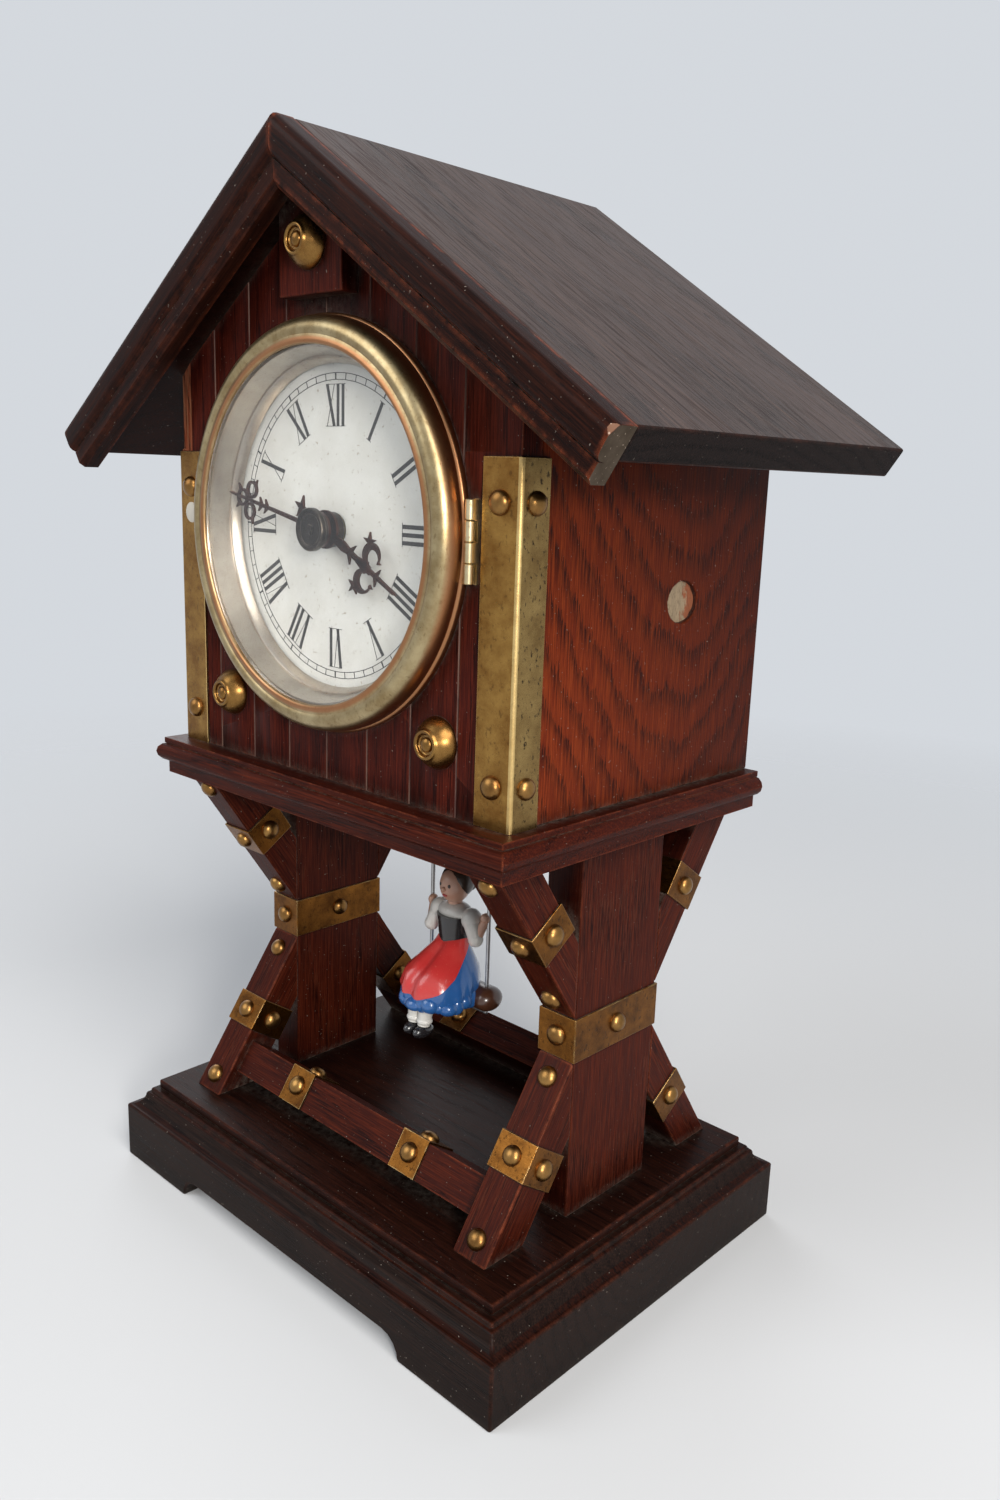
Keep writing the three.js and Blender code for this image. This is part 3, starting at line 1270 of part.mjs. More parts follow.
// The seated figure: skirt over the lap, bodice, head, arms up to the wires, legs and shoes
function swingFigure() {
  const unit = FIGURE_HEIGHT / 42;
  const at = (x, y, z) => [x * unit, swingY + y * unit, seatTop + z * unit];
  const round = (x, y, z, rx, ry, rz) => ball(...at(x, y, z), rx * unit, ry * unit, rz * unit);
  const pieces = [
    round(0, -6, 0, 13, 14, 8),
    limb(at(0, -2, 3), at(0, -2, 22), 6.4 * unit, 5 * unit),
    round(0, -2, 22, 7.2, 4.6, 3.6),
    limb(at(0, -2, 22), at(0, -2.5, 29), 2.6 * unit, 2.4 * unit),
    round(0, -2, 33.5, 6, 6.2, 7),
  ];
  for (const side of [-1, 1]) {
    const hand = (wireX - WIRE_RADIUS - GAP) * side;
    pieces.push(limb(at(side * 5, -2, 23), at(side * 11, -3, 16), 3 * unit, 2.6 * unit));
    pieces.push(limb(at(side * 10.2, -3, 15), [hand, swingY, seatTop + 24 * unit], 2.6 * unit, 1.5 * unit));
    pieces.push(limb(at(side * 3.4, -13, -2), at(side * 3.4, -16.5, -14), 2.8 * unit, 1.9 * unit));
    pieces.push(round(side * 3.4, -18, -14.5, 2.4, 4.4, 2.2));
  }
  let figure = union(pieces);
  const seatX = SEAT_WIDTH / 2 + GAP;
  const seatY = SEAT_DEPTH / 2 + GAP;
  const seatMiddle = seatTop - SEAT_THICKNESS / 2;
  const under = seatLow - 2 * WIRE_RADIUS - 3 * GAP;
  figure = figure.subtract(bolster(GAP));
  figure = figure.subtract(box(-seatX, seatX, swingY - seatY, swingY + 3 * seatY, under, seatMiddle));
  figure = figure.subtract(box(-seatX, seatX, swingY, swingY + 3 * seatY, under, seatTop + GAP));
  for (const x of [-wireX, wireX]) {
    figure = figure.subtract(rodZ(x, swingY, WIRE_RADIUS + GAP, seatLow, crownZ, 8));
  }
  return figure;
}

add('verge_arbor', vergeArbor(), STEEL);
add('swing_wires', swingWires(), STEEL);
add('swing_seat', swingSeat(), STAINED_OAK);
add('swing_figure', swingFigure(), PAINTED);

const clock = new THREE.Group();
clock.add(...parts);

export default clock;
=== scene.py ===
# %% [markdown]
# # Dressing a chalet mantel clock
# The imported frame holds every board, wheel and wire at its true size. This lesson keeps that frame
# still and gives it the looks of the real clock: oak with a wine-red stain, struck brass gone
# olive and copper, a silvered ring, a printed dial and a small painted figure on a swing.

# %% Load the frame
import json
import math

import bmesh
import bpy
from mathutils import Matrix, Vector


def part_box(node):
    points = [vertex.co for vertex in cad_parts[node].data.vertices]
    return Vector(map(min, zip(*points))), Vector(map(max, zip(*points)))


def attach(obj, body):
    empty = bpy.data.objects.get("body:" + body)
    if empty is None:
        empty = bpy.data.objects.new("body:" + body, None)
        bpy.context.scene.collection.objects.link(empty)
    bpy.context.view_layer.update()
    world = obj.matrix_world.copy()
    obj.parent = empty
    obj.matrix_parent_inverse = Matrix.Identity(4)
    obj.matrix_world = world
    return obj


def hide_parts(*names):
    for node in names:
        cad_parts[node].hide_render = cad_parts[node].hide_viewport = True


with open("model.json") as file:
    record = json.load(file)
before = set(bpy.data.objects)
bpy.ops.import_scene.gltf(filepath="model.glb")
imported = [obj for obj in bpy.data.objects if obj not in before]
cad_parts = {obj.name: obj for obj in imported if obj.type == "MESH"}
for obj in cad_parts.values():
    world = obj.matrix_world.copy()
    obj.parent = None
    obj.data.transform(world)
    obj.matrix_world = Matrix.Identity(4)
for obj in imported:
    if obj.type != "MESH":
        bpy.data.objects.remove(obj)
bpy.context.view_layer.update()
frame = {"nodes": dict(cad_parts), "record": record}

MM = 0.001
print("nodes in the frame:", len(frame["nodes"]))

# %% [markdown]
# ## Helpers for pieces
# Each piece is drawn in metres at its own place, so its object stays at the origin. Its doubles are
# merged and its normals turned outwards before it becomes a mesh. Weighted normals keep the wide
# faces of a flat piece even, and leave the light to its eased corners.

# %% Helpers for pieces
WELD = 0.002 * MM


def span(node):
    low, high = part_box(node)
    return Vector(low), Vector(high)


def new_piece(name, bm, finish, body, stands_for=(), sharp=40):
    bmesh.ops.remove_doubles(bm, verts=bm.verts, dist=WELD)
    bmesh.ops.recalc_face_normals(bm, faces=bm.faces)
    mesh = bpy.data.meshes.new(name)
    bm.to_mesh(mesh)
    bm.free()
    for material in finish if isinstance(finish, tuple) else (finish,):
        mesh.materials.append(material)
    mesh.shade_smooth()
    mesh.set_sharp_from_angle(angle=math.radians(sharp))
    piece = bpy.data.objects.new(name, mesh)
    bpy.context.scene.collection.objects.link(piece)
    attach(piece, body)
    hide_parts(*stands_for)
    return piece


def flat_piece(name, bm, finish, body, stands_for=()):
    piece = new_piece(name, bm, finish, body, stands_for, sharp=60)
    piece.modifiers.new("Even shading", "WEIGHTED_NORMAL").keep_sharp = True
    return piece


print("weld distance in mm:", WELD / MM)

# %% [markdown]
# A board is a copy of its plain solid with the corners eased, because a sharp corner on real wood is
# soon worn off and only a rounded edge catches a line of light. `cut` takes a corner off, as a knock
# does, and closes the wound.

# %% Helpers for boards
HAIRLINE = 0.001 * MM


def plain_copy(node):
    bm = bmesh.new()
    bm.from_mesh(frame["nodes"][node].data)
    bmesh.ops.remove_doubles(bm, verts=bm.verts, dist=WELD)
    bmesh.ops.dissolve_limit(bm, angle_limit=math.radians(0.5), verts=bm.verts, edges=bm.edges)
    return bm


def ease(bm, width, segments=2):
    edges = [e for e in bm.edges if e.is_convex and e.calc_face_angle(0) > math.radians(30)]
    bmesh.ops.bevel(
        bm, geom=edges, offset=width * MM, affect="EDGES", segments=segments,
        profile=0.5, material=-1, clamp_overlap=True,
    )


def score(bm, point, normal, **clearing):
    bmesh.ops.bisect_plane(
        bm, geom=bm.verts[:] + bm.edges[:] + bm.faces[:], dist=HAIRLINE,
        plane_co=point, plane_no=normal, **clearing,
    )


def cut(bm, point, normal):
    score(bm, Vector(point) * MM, normal, clear_outer=True)
    bmesh.ops.holes_fill(bm, edges=[e for e in bm.edges if e.is_boundary])


def board(name, node, finish, body, width=0.6, chip=None):
    bm = plain_copy(node)
    if chip:
        cut(bm, *chip)
    ease(bm, width)
    return flat_piece(name, bm, finish, body, (node,))


print("boards are eased by 0.6 mm unless they say otherwise")

# %% [markdown]
# Turned work, such as the bezel and the bosses, is a profile spun about its axis, as on a lathe.
# Sheet work, such as the hands, is an outline with a thickness, as if cut with a piercing saw.

# %% Helpers for turned and sheet work
def about(centre, change):
    return Matrix.Translation(centre) @ change @ Matrix.Translation(-centre)


def spin_into(bm, profile, centre, axis, steps, closed=False):
    axis = Vector(axis).normalized()
    out = axis.orthogonal().normalized()
    verts = [bm.verts.new(Vector(centre) + (out * r + axis * a) * MM) for r, a in profile]
    edges = [bm.edges.new(pair) for pair in zip(verts, verts[1:])]
    if closed:
        edges.append(bm.edges.new((verts[-1], verts[0])))
    bmesh.ops.spin(
        bm, geom=verts + edges, cent=Vector(centre), axis=axis,
        angle=2 * math.pi, steps=steps, use_merge=True,
    )


def bow(x, y, rx, ry, start, end, count):
    angles = [math.radians(start + (end - start) * i / count) for i in range(count + 1)]
    return [(x + rx * math.cos(t), y + ry * math.sin(t)) for t in angles]


def plate(bm, outline, place, thickness):
    face = bm.faces.new([bm.verts.new(place @ Vector((x * MM, 0, z * MM))) for x, z in outline])
    grown = bmesh.ops.extrude_face_region(bm, geom=[face])["geom"]
    moved = [v for v in grown if isinstance(v, bmesh.types.BMVert)]
    bmesh.ops.translate(bm, verts=moved, vec=place.to_3x3() @ Vector((0, thickness * MM, 0)))


def cube(bm, place, size):
    bmesh.ops.create_cube(bm, size=1, matrix=place @ Matrix.Diagonal(Vector(size) * MM).to_4x4())


def ball(bm, centre, radii, across=16, up=10):
    place = Matrix.Translation(Vector(centre) * MM) @ Matrix.Diagonal(Vector(radii) * MM).to_4x4()
    bmesh.ops.create_uvsphere(bm, u_segments=across, v_segments=up, radius=1, matrix=place)


print("a quarter bow of six steps has", len(bow(0, 0, 1, 1, 0, 90, 6)), "points")

# %% [markdown]
# ## Helpers for finishes
# A finish is a small network of nodes. The helpers keep each one readable: `put` adds a node, `calc`
# does arithmetic, `mix` lays one colour over another where a mask shows, and `remap` stretches a
# value. All of them read object coordinates turned into millimetres, so marks have a real size.

# %% Helpers for nodes
def put(tree, kind, values=None, **settings):
    made = tree.nodes.new(kind)
    for key, value in settings.items():
        setattr(made, key, value)
    for key, value in (values or {}).items():
        if isinstance(value, bpy.types.NodeSocket):
            tree.links.new(value, made.inputs[key])
        else:
            made.inputs[key].default_value = value
    return made


def calc(tree, operation, a, b=0.0):
    return put(tree, "ShaderNodeMath", {0: a, 1: b}, operation=operation).outputs[0]


def mix(tree, mask, under, over, share=1.0):
    amount = mask if share == 1.0 else calc(tree, "MULTIPLY", mask, share)
    layers = {6: under, 7: over}
    for key, colour in layers.items():
        if not isinstance(colour, bpy.types.NodeSocket):
            layers[key] = (*colour, 1)
    return put(tree, "ShaderNodeMix", {0: amount, **layers}, data_type="RGBA").outputs[2]


def remap(tree, value, low, high, start=0.0, end=1.0):
    values = {"Value": value, "From Min": low, "From Max": high, "To Min": start, "To Max": end}
    return put(tree, "ShaderNodeMapRange", values).outputs[0]


def stretch(tree, vector, scale):
    return put(tree, "ShaderNodeVectorMath", {0: vector, 1: scale}, operation="MULTIPLY").outputs[0]


def length(tree, vector):
    return put(tree, "ShaderNodeVectorMath", {0: vector}, operation="LENGTH").outputs["Value"]


def noise(tree, vector, scale, detail=3.0, rough=0.6):
    stretched = stretch(tree, vector, scale)
    values = {"Vector": stretched, "Scale": 1.0, "Detail": detail, "Roughness": rough}
    return put(tree, "ShaderNodeTexNoise", values).outputs[0]


print("node helpers ready")

# %% [markdown]
# An effect that several finishes share is a node group, built once and placed with its own values.
# A new finish starts with a Mapping node, which centres and turns its pattern on the piece.

# %% Helpers for groups and finishes
def new_group(name, inputs, outputs):
    tree = bpy.data.node_groups.new(name, "ShaderNodeTree")
    for label, kind in inputs.items():
        tree.interface.new_socket(label, in_out="INPUT", socket_type="NodeSocket" + kind)
    for label in outputs:
        tree.interface.new_socket(label, in_out="OUTPUT", socket_type="NodeSocketFloat")
    return tree, tree.nodes.new("NodeGroupInput").outputs, tree.nodes.new("NodeGroupOutput").inputs


def use(tree, group, vector, **values):
    named = {key.replace("_", " "): value for key, value in values.items()}
    return put(tree, "ShaderNodeGroup", {"Vector": vector, **named}, node_tree=group).outputs


def new_finish(name, turn=(0, 0, 0), shift=(0, 0, 0)):
    material = bpy.data.materials.new(name)
    material.use_nodes = True
    tree = material.node_tree
    tree.nodes.clear()
    place = put(tree, "ShaderNodeTexCoord").outputs["Object"]
    values = {"Vector": place, "Scale": (1 / MM, 1 / MM, 1 / MM), "Location": shift}
    values["Rotation"] = [math.radians(angle) for angle in turn]
    return material, tree, put(tree, "ShaderNodeMapping", values).outputs[0]


def surface(tree, **values):
    named = {key.replace("_", " "): value for key, value in values.items()}
    shader = put(tree, "ShaderNodeBsdfPrincipled", named)
    tree.links.new(shader.outputs[0], put(tree, "ShaderNodeOutputMaterial").inputs[0])


print("group helpers ready")

# %% [markdown]
# ## Oak
# A flat-sawn oak board shows the growth rings of the tree as long arches. The group below works out
# how far a point lies from the middle of a tapering trunk, bends that with slow noise and cuts it
# into rings. Fibres and open pores are noise drawn out along the grain.

# %% Oak grain
FLOATS = ("Spacing", "Depth", "Taper", "Wander", "Dark share")
oak_grain, source, result = new_group(
    "Oak grain", {"Vector": "Vector", **dict.fromkeys(FLOATS, "Float")}, ["Ring", "Fibre", "Pores"],
)
tree, vector = oak_grain, source["Vector"]
slow = noise(tree, vector, (0.04, 0.04, 0.02), 4.0, 0.55)
wander = calc(tree, "MULTIPLY", calc(tree, "SUBTRACT", slow, 0.5), source["Wander"])
log = put(tree, "ShaderNodeSeparateXYZ", {0: vector}).outputs
deep = calc(tree, "ADD", log["Y"], source["Depth"])
far = length(tree, put(tree, "ShaderNodeCombineXYZ", {"X": log["X"], "Y": deep}).outputs[0])
rise = calc(tree, "MULTIPLY", log["Z"], source["Taper"])
trunk = calc(tree, "ADD", calc(tree, "SUBTRACT", far, rise), wander)
fibre = noise(tree, vector, (2.0, 2.0, 0.06), 5.0, 0.7)
dashes = noise(tree, vector, (2.6, 2.6, 0.14), 2.0, 0.5)
counted = calc(tree, "DIVIDE", trunk, source["Spacing"])
frayed = calc(tree, "MULTIPLY", calc(tree, "SUBTRACT", dashes, 0.5), 0.9)
ring = calc(tree, "FRACT", calc(tree, "ADD", counted, frayed))
open_ring = remap(tree, ring, 0.5, 0.0, 0.25, 1.0)
pores = calc(tree, "MULTIPLY", remap(tree, dashes, 0.52, 0.66), open_ring)
tree.links.new(remap(tree, ring, 0.02, source["Dark share"]), result["Ring"])
tree.links.new(fibre, result["Fibre"])
tree.links.new(pores, result["Pores"])
print("oak grain nodes:", len(oak_grain.nodes))

# %% [markdown]
# ## Wear, dirt and painted shade
# Hands rub the stain off proud edges and dust stays in corners. The first group compares the true
# normal with a rounded one to find edges; the second asks how much sky a point can see, near by for
# dust and further out for grime and painted shade, which darken crevices and joints.

# %% Wear, dirt and painted shade
edge_wear, source, result = new_group("Edge wear", {"Vector": "Vector", "Radius": "Float"}, ["Mask"])
tree, vector = edge_wear, source["Vector"]
rounded = put(tree, "ShaderNodeBevel", {"Radius": source["Radius"]}, samples=4).outputs[0]
true_normal = put(tree, "ShaderNodeNewGeometry").outputs["Normal"]
compared = put(tree, "ShaderNodeVectorMath", {0: rounded, 1: true_normal}, operation="DOT_PRODUCT")
patches = remap(tree, noise(tree, vector, (0.22, 0.22, 0.22), 6.0, 0.7), 0.4, 0.62)
on_edge = remap(tree, compared.outputs["Value"], 0.985, 0.9)
tree.links.new(calc(tree, "MULTIPLY", on_edge, patches), result["Mask"])

corner_dust_and_shade, source, result = new_group(
    "Corner dust and shade", {"Vector": "Vector", "Reach": "Float"}, ["Dust", "Grime and shade"],
)
tree, vector = corner_dust_and_shade, source["Vector"]
near_sky = put(tree, "ShaderNodeAmbientOcclusion", {"Distance": source["Reach"]}, samples=4)
fluff = remap(tree, noise(tree, vector, (0.5, 0.5, 0.5), 5.0, 0.7), 0.35, 0.7)
lying = remap(tree, near_sky.outputs["AO"], 0.55, 0.15)
tree.links.new(calc(tree, "MULTIPLY", lying, fluff), result["Dust"])
# Grime and painted shade: the wider reach darkens crevices and joints where little light gets in.
wide_reach = calc(tree, "MULTIPLY", source["Reach"], 2.6)
wide_sky = put(tree, "ShaderNodeAmbientOcclusion", {"Distance": wide_reach}, samples=4)
smear = remap(tree, noise(tree, vector, (0.09, 0.09, 0.09), 5.0, 0.6), 0.3, 0.6, 0.35, 1.0)
crevice_shade = remap(tree, wide_sky.outputs["AO"], 0.93, 0.45)
tree.links.new(calc(tree, "MULTIPLY", crevice_shade, smear), result["Grime and shade"])
print("wear and dirt nodes:", len(edge_wear.nodes) + len(corner_dust_and_shade.nodes))

# %% [markdown]
# ## Stained boards
# The stain on this clock is a wine red that has darkened almost to black where it was handled most.
# `oak` lays the same build on every board: stain, rings, pores, worn red edges, grime and painted
# shade in crevices, dust and a thin old varnish, and on the side panel painted shade that darkens it
# towards the back. Otherwise each board only differs in the way its grain runs and in its three
# stain colours.

# %% Stained boards
DUST = (0.36, 0.31, 0.26)
WORN_RED = (0.24, 0.055, 0.022)
DUST_AND_SHADE_REACH = 7 * MM


def oak(
    name, turn, stain, shift=(0, 0, 0), rings=(5.0, 26.0, 0.06, 5.0), share=0.34, pore=None, painted_shade=None,
    worn=0.7, corner=0.9, grime_and_shade=0.9, dusty=0.5, streaks=0.0, gloss=0.4, varnish=(0.05, 0.025),
    relief=(0.35, 0.12),
):
    material, tree, vector = new_finish(name, turn, shift)
    spacing, depth, taper, wander = rings
    grain = use(
        tree, oak_grain, vector, Spacing=spacing, Depth=depth, Taper=taper, Wander=wander,
        Dark_share=share,
    )
    dark, middle, light = stain
    colour = mix(tree, grain["Ring"], dark, middle)
    colour = mix(tree, remap(tree, grain["Fibre"], 0.44, 0.66), colour, light)
    colour = mix(tree, grain["Pores"], colour, pore or dark, 0.85)
    # Painted shade: the board darkens towards one side, as if less light fell there.
    if painted_shade:
        across = put(tree, "ShaderNodeSeparateXYZ", {0: vector}).outputs["X"]
        colour = mix(tree, remap(tree, across, *painted_shade), colour, dark)
    edge = use(tree, edge_wear, vector, Radius=corner * MM)["Mask"]
    colour = mix(tree, edge, colour, WORN_RED, worn)
    dirt_and_shade = use(tree, corner_dust_and_shade, vector, Reach=DUST_AND_SHADE_REACH)
    # Grime and painted shade: crevices and joints darken towards the stain's dark.
    colour = mix(tree, dirt_and_shade["Grime and shade"], colour, dark, grime_and_shade)
    colour = mix(tree, dirt_and_shade["Dust"], colour, DUST, dusty)
    specks = remap(tree, noise(tree, vector, (1.3, 1.3, 1.3), 1.0), 0.75, 0.79)
    colour = mix(tree, specks, colour, DUST, 0.5)
    height = calc(tree, "SUBTRACT", calc(tree, "MULTIPLY", grain["Fibre"], 0.5), grain["Pores"])
    strength, distance = relief[0], relief[1] * MM
    bump = put(tree, "ShaderNodeBump", {"Strength": strength, "Distance": distance, "Height": height})
    rough = remap(tree, grain["Fibre"], 0.3, 0.7, gloss - 0.08, gloss + 0.14)
    if streaks:
        lines = remap(tree, noise(tree, vector, (1.5, 1.5, 0.06), 5.0, 0.66), 0.5, 0.64)
        colour = mix(tree, lines, colour, dark, streaks)
        rough = calc(tree, "ADD", rough, calc(tree, "MULTIPLY", lines, 0.4 * streaks))
    surface(
        tree, Base_Color=colour, Roughness=rough, Normal=bump.outputs[0],
        Specular_IOR_Level=varnish[0], Coat_Weight=varnish[1], Coat_Roughness=0.2,
    )
    return material


print("oak is ready to be stained")

# %% [markdown]
# A stain is three colours: the dark of the rings, the ground and the light of the fibres. The front
# is crimson, the side rusty and darkened towards its back as painted shade, the stand wine red, the
# top of the base sooty and its walls pitch black as painted shade. The base, the floor and the rails
# have their grain along the clock's width.

# %% Stains
WINE = ((0.008, 0.0014, 0.0010), (0.032, 0.0047, 0.0023), (0.079, 0.0130, 0.0050))
CRIMSON = ((0.010, 0.0016, 0.0012), (0.046, 0.0060, 0.0033), (0.108, 0.0160, 0.0075))
RUST = ((0.013, 0.0026, 0.0017), (0.118, 0.0150, 0.0040), (0.245, 0.0415, 0.0095))
SOOT = ((0.004, 0.0014, 0.0011), (0.011, 0.0034, 0.0022), (0.031, 0.0082, 0.0044))
PITCH_BLACK = ((0.004, 0.0023, 0.0019), (0.010, 0.0056, 0.0045), (0.024, 0.0124, 0.0092))
PALE_PORE = (0.085, 0.021, 0.0095)
ALONG_X = (0, -90, 90)
front_oak = oak("Front oak", (0, 0, 0), CRIMSON, rings=(6.0, 40.0, 0.03, 6.0))
# The side panel gets painted shade: it darkens towards its back edge.
side_oak = oak(
    "Side oak", (0, 0, 90), RUST, shift=(20, 0, 0), rings=(8.6, -45.0, 0.62, 16.0), share=0.56,
    painted_shade=(62, -50, 0.0, 0.78), worn=0.4, varnish=(0.05, 0.02),
)
post_oak = oak("Post oak", (0, 0, 90), WINE, shift=(0, 60, 0), pore=PALE_PORE)
base_oak = oak("Base oak", ALONG_X, SOOT, worn=0.45, corner=1.2, dusty=0.16)
# Painted shade: the walls of the base block get this blacker oak, its top the sooty one.
plinth_shade_oak = oak("Plinth shade oak", ALONG_X, PITCH_BLACK, worn=0.45, corner=1.2, dusty=0.16)
floor_oak = oak("Floor oak", ALONG_X, WINE, shift=(0, 30, 0))
print("nodes in one oak finish:", len(front_oak.node_tree.nodes))

# %% [markdown]
# ## Brass, steel and silver
# The straps and the bezel are brass sheet that was bronzed at the factory. Age turned it olive, ate
# dark pits into it and let copper show along the edges. The patina group gives slow clouds, small
# pits and fine scratches. On the bezel, copper also shows in rings, at the lip and at the foot.

# %% Patina
COPPER = (0.36, 0.15, 0.065)
GILT = (0.85, 0.62, 0.28)
patina, source, result = new_group("Patina", {"Vector": "Vector"}, ["Cloud", "Pits", "Scratch"])
tree, vector = patina, source["Vector"]
cloud = noise(tree, vector, (0.11, 0.11, 0.11), 7.0, 0.68)
pit_field = noise(tree, vector, (0.85, 0.85, 0.5), 5.0, 0.68)
tree.links.new(remap(tree, cloud, 0.36, 0.64), result["Cloud"])
tree.links.new(remap(tree, pit_field, 0.575, 0.64), result["Pits"])
tree.links.new(noise(tree, vector, (0.6, 4.0, 4.0), 3.0, 0.6), result["Scratch"])


def metal(
    name, bright, dull, pitted, rubbed=GILT, rough=(0.26, 0.5), pits=0.8, relief=0.3,
    rings=(), centre=(0, 0, 0),
):
    material, tree, vector = new_finish(name, shift=centre)
    age = use(tree, patina, vector)
    colour = mix(tree, age["Cloud"], bright, dull)
    colour = mix(tree, age["Pits"], colour, pitted, pits)
    if rings:
        radius = length(tree, stretch(tree, vector, (1, 0, 1)))
        for ring in rings:
            away = calc(tree, "ABSOLUTE", calc(tree, "SUBTRACT", radius, ring))
            colour = mix(tree, remap(tree, away, 1.3, 0.5, 0.0, 0.85), colour, COPPER)
    rub = use(tree, edge_wear, vector, Radius=0.5 * MM)["Mask"]
    colour = mix(tree, rub, colour, rubbed, 0.7)
    sunk = calc(tree, "MULTIPLY", age["Pits"], pits)
    height = calc(tree, "SUBTRACT", calc(tree, "MULTIPLY", age["Scratch"], 0.4), sunk)
    bump = put(tree, "ShaderNodeBump", {"Strength": relief, "Distance": 0.06 * MM, "Height": height})
    shine = remap(tree, age["Scratch"], 0.3, 0.7, *rough)
    surface(tree, Base_Color=colour, Metallic=1.0, Roughness=shine, Normal=bump.outputs[0])
    return material


print("patina nodes:", len(patina.nodes))

# %% [markdown]
# Each metal has a bright and a dull colour, the colour of its pits and of its rubbed edges, and how
# rough and how pitted it is. Small turned heads get little relief, or they would look hammered.

# %% Metals
aged_brass = metal(
    "Aged brass", (0.36, 0.235, 0.085), (0.21, 0.125, 0.042), (0.03, 0.018, 0.009),
    rough=(0.24, 0.38), pits=0.95,
)
strap_brass = metal(
    "Strap brass", (0.23, 0.092, 0.017), (0.085, 0.032, 0.007), (0.02, 0.01, 0.005),
    rough=(0.24, 0.4), pits=0.6,
)
nail_copper = metal(
    "Nail copper", (0.33, 0.182, 0.058), (0.18, 0.086, 0.026), (0.05, 0.02, 0.01), (0.62, 0.38, 0.17),
    (0.3, 0.36), pits=0.1, relief=0.05,
)
bezel_brass = metal(
    "Bezel brass", (0.46, 0.365, 0.205), (0.28, 0.20, 0.095), (0.11, 0.060, 0.022), COPPER,
    (0.27, 0.38), pits=0.35, rings=(49.9, 56.9), centre=(0, 0, -228.1),
)
boss_brass = metal(
    "Boss brass", (0.31, 0.172, 0.050), (0.17, 0.082, 0.024), (0.08, 0.03, 0.015), (0.66, 0.46, 0.22),
    (0.24, 0.36), pits=0.2, relief=0.1,
)
leg_brass = metal(
    "Leg brass", (0.38, 0.210, 0.055), (0.21, 0.096, 0.022), (0.07, 0.032, 0.012),
    rough=(0.25, 0.38), pits=0.5,
)
# Brighter than the legs' brass: partly rubbed brass, partly a painted highlight along the fold.
fold_highlight_brass = metal(
    "Fold highlight brass", (0.66, 0.47, 0.20), (0.50, 0.33, 0.125), (0.3, 0.2, 0.08), rough=(0.3, 0.42), pits=0.3,
)
hinge_brass = metal(
    "Hinge brass", (0.66, 0.56, 0.36), (0.48, 0.38, 0.21), (0.2, 0.13, 0.05),
    rough=(0.3, 0.44), pits=0.5,
)
clean_brass = metal(
    "Movement brass", (0.66, 0.49, 0.20), (0.52, 0.37, 0.14), (0.3, 0.2, 0.08), (0.75, 0.55, 0.3),
    pits=0.3,
)
print("brasses:", aged_brass.name, "to", clean_brass.name)

# %% [markdown]
# Steel is blackened on the hands and their hub and bare on the arbors. The ring behind the glass is
# silvered brass, a little warm where the silver has gone thin.

# %% Steel and silver
hub_steel = metal(
    "Hub steel", (0.050, 0.038, 0.029), (0.022, 0.017, 0.014), (0.02, 0.014, 0.01), (0.46, 0.40, 0.33),
    (0.28, 0.42), pits=0.3,
)
steel = metal(
    "Steel", (0.52, 0.52, 0.53), (0.38, 0.37, 0.36), (0.2, 0.17, 0.15), (0.62, 0.62, 0.62), pits=0.4,
)
hand_steel = metal(
    "Hand steel", (0.080, 0.025, 0.016), (0.026, 0.011, 0.009), (0.01, 0.006, 0.005),
    (0.16, 0.05, 0.025), (0.34, 0.5), pits=0.3,
)
silver = metal(
    "Silvered ring", (0.57, 0.515, 0.435), (0.47, 0.41, 0.335), (0.4, 0.33, 0.24), (0.60, 0.40, 0.28),
    (0.26, 0.36), pits=0.15,
)
print("steels and silver:", hub_steel.name, steel.name, hand_steel.name, silver.name)

# %% [markdown]
# ## Paints and glass
# Paint is a flat colour with a little unevenness and a few flecks. After its two colours come its
# roughness, the strength of its flecks, its varnish and how fine the flecks are. The dial is white
# enamel with brown specks. The glass lets light straight through, so that its shadow stays pale.

# %% Paints and glass
def paint(name, colour, fleck, rough=0.3, flecks=0.5, coat=0.2, size=1.2, shine=0.5):
    material, tree, vector = new_finish(name)
    uneven = noise(tree, vector, (0.09, 0.09, 0.09), 5.0)
    shaded = mix(tree, remap(tree, uneven, 0.35, 0.7, 0.0, 0.22), colour, fleck)
    spots = remap(tree, noise(tree, vector, (size, size, size), 2.0), 0.66, 0.72)
    shaded = mix(tree, spots, shaded, fleck, flecks)
    surface(
        tree, Base_Color=shaded, Roughness=rough, Specular_IOR_Level=shine,
        Coat_Weight=coat, Coat_Roughness=0.12,
    )
    return material


dial_white = paint("Dial white", (0.67, 0.67, 0.63), (0.36, 0.31, 0.24), 0.4, 0.8, 0.1, 0.7)
dial_black = paint("Dial black", (0.012, 0.011, 0.011), (0.05, 0.045, 0.04), 0.5, 0.3, 0.0)
glass = bpy.data.materials.new("Glass")
glass.use_nodes = True
tree = glass.node_tree
tree.nodes.clear()
window_glass = {"Roughness": 0.02, "IOR": 1.46, "Transmission Weight": 1.0}
clear = put(tree, "ShaderNodeBsdfPrincipled", window_glass).outputs[0]
open_air = put(tree, "ShaderNodeBsdfTransparent").outputs[0]
shadow = put(tree, "ShaderNodeLightPath").outputs["Is Shadow Ray"]
joined = put(tree, "ShaderNodeMixShader", {0: shadow, 1: clear, 2: open_air}).outputs[0]
tree.links.new(joined, put(tree, "ShaderNodeOutputMaterial").inputs[0])
print("paints and glass:", dial_white.name, dial_black.name, glass.name)

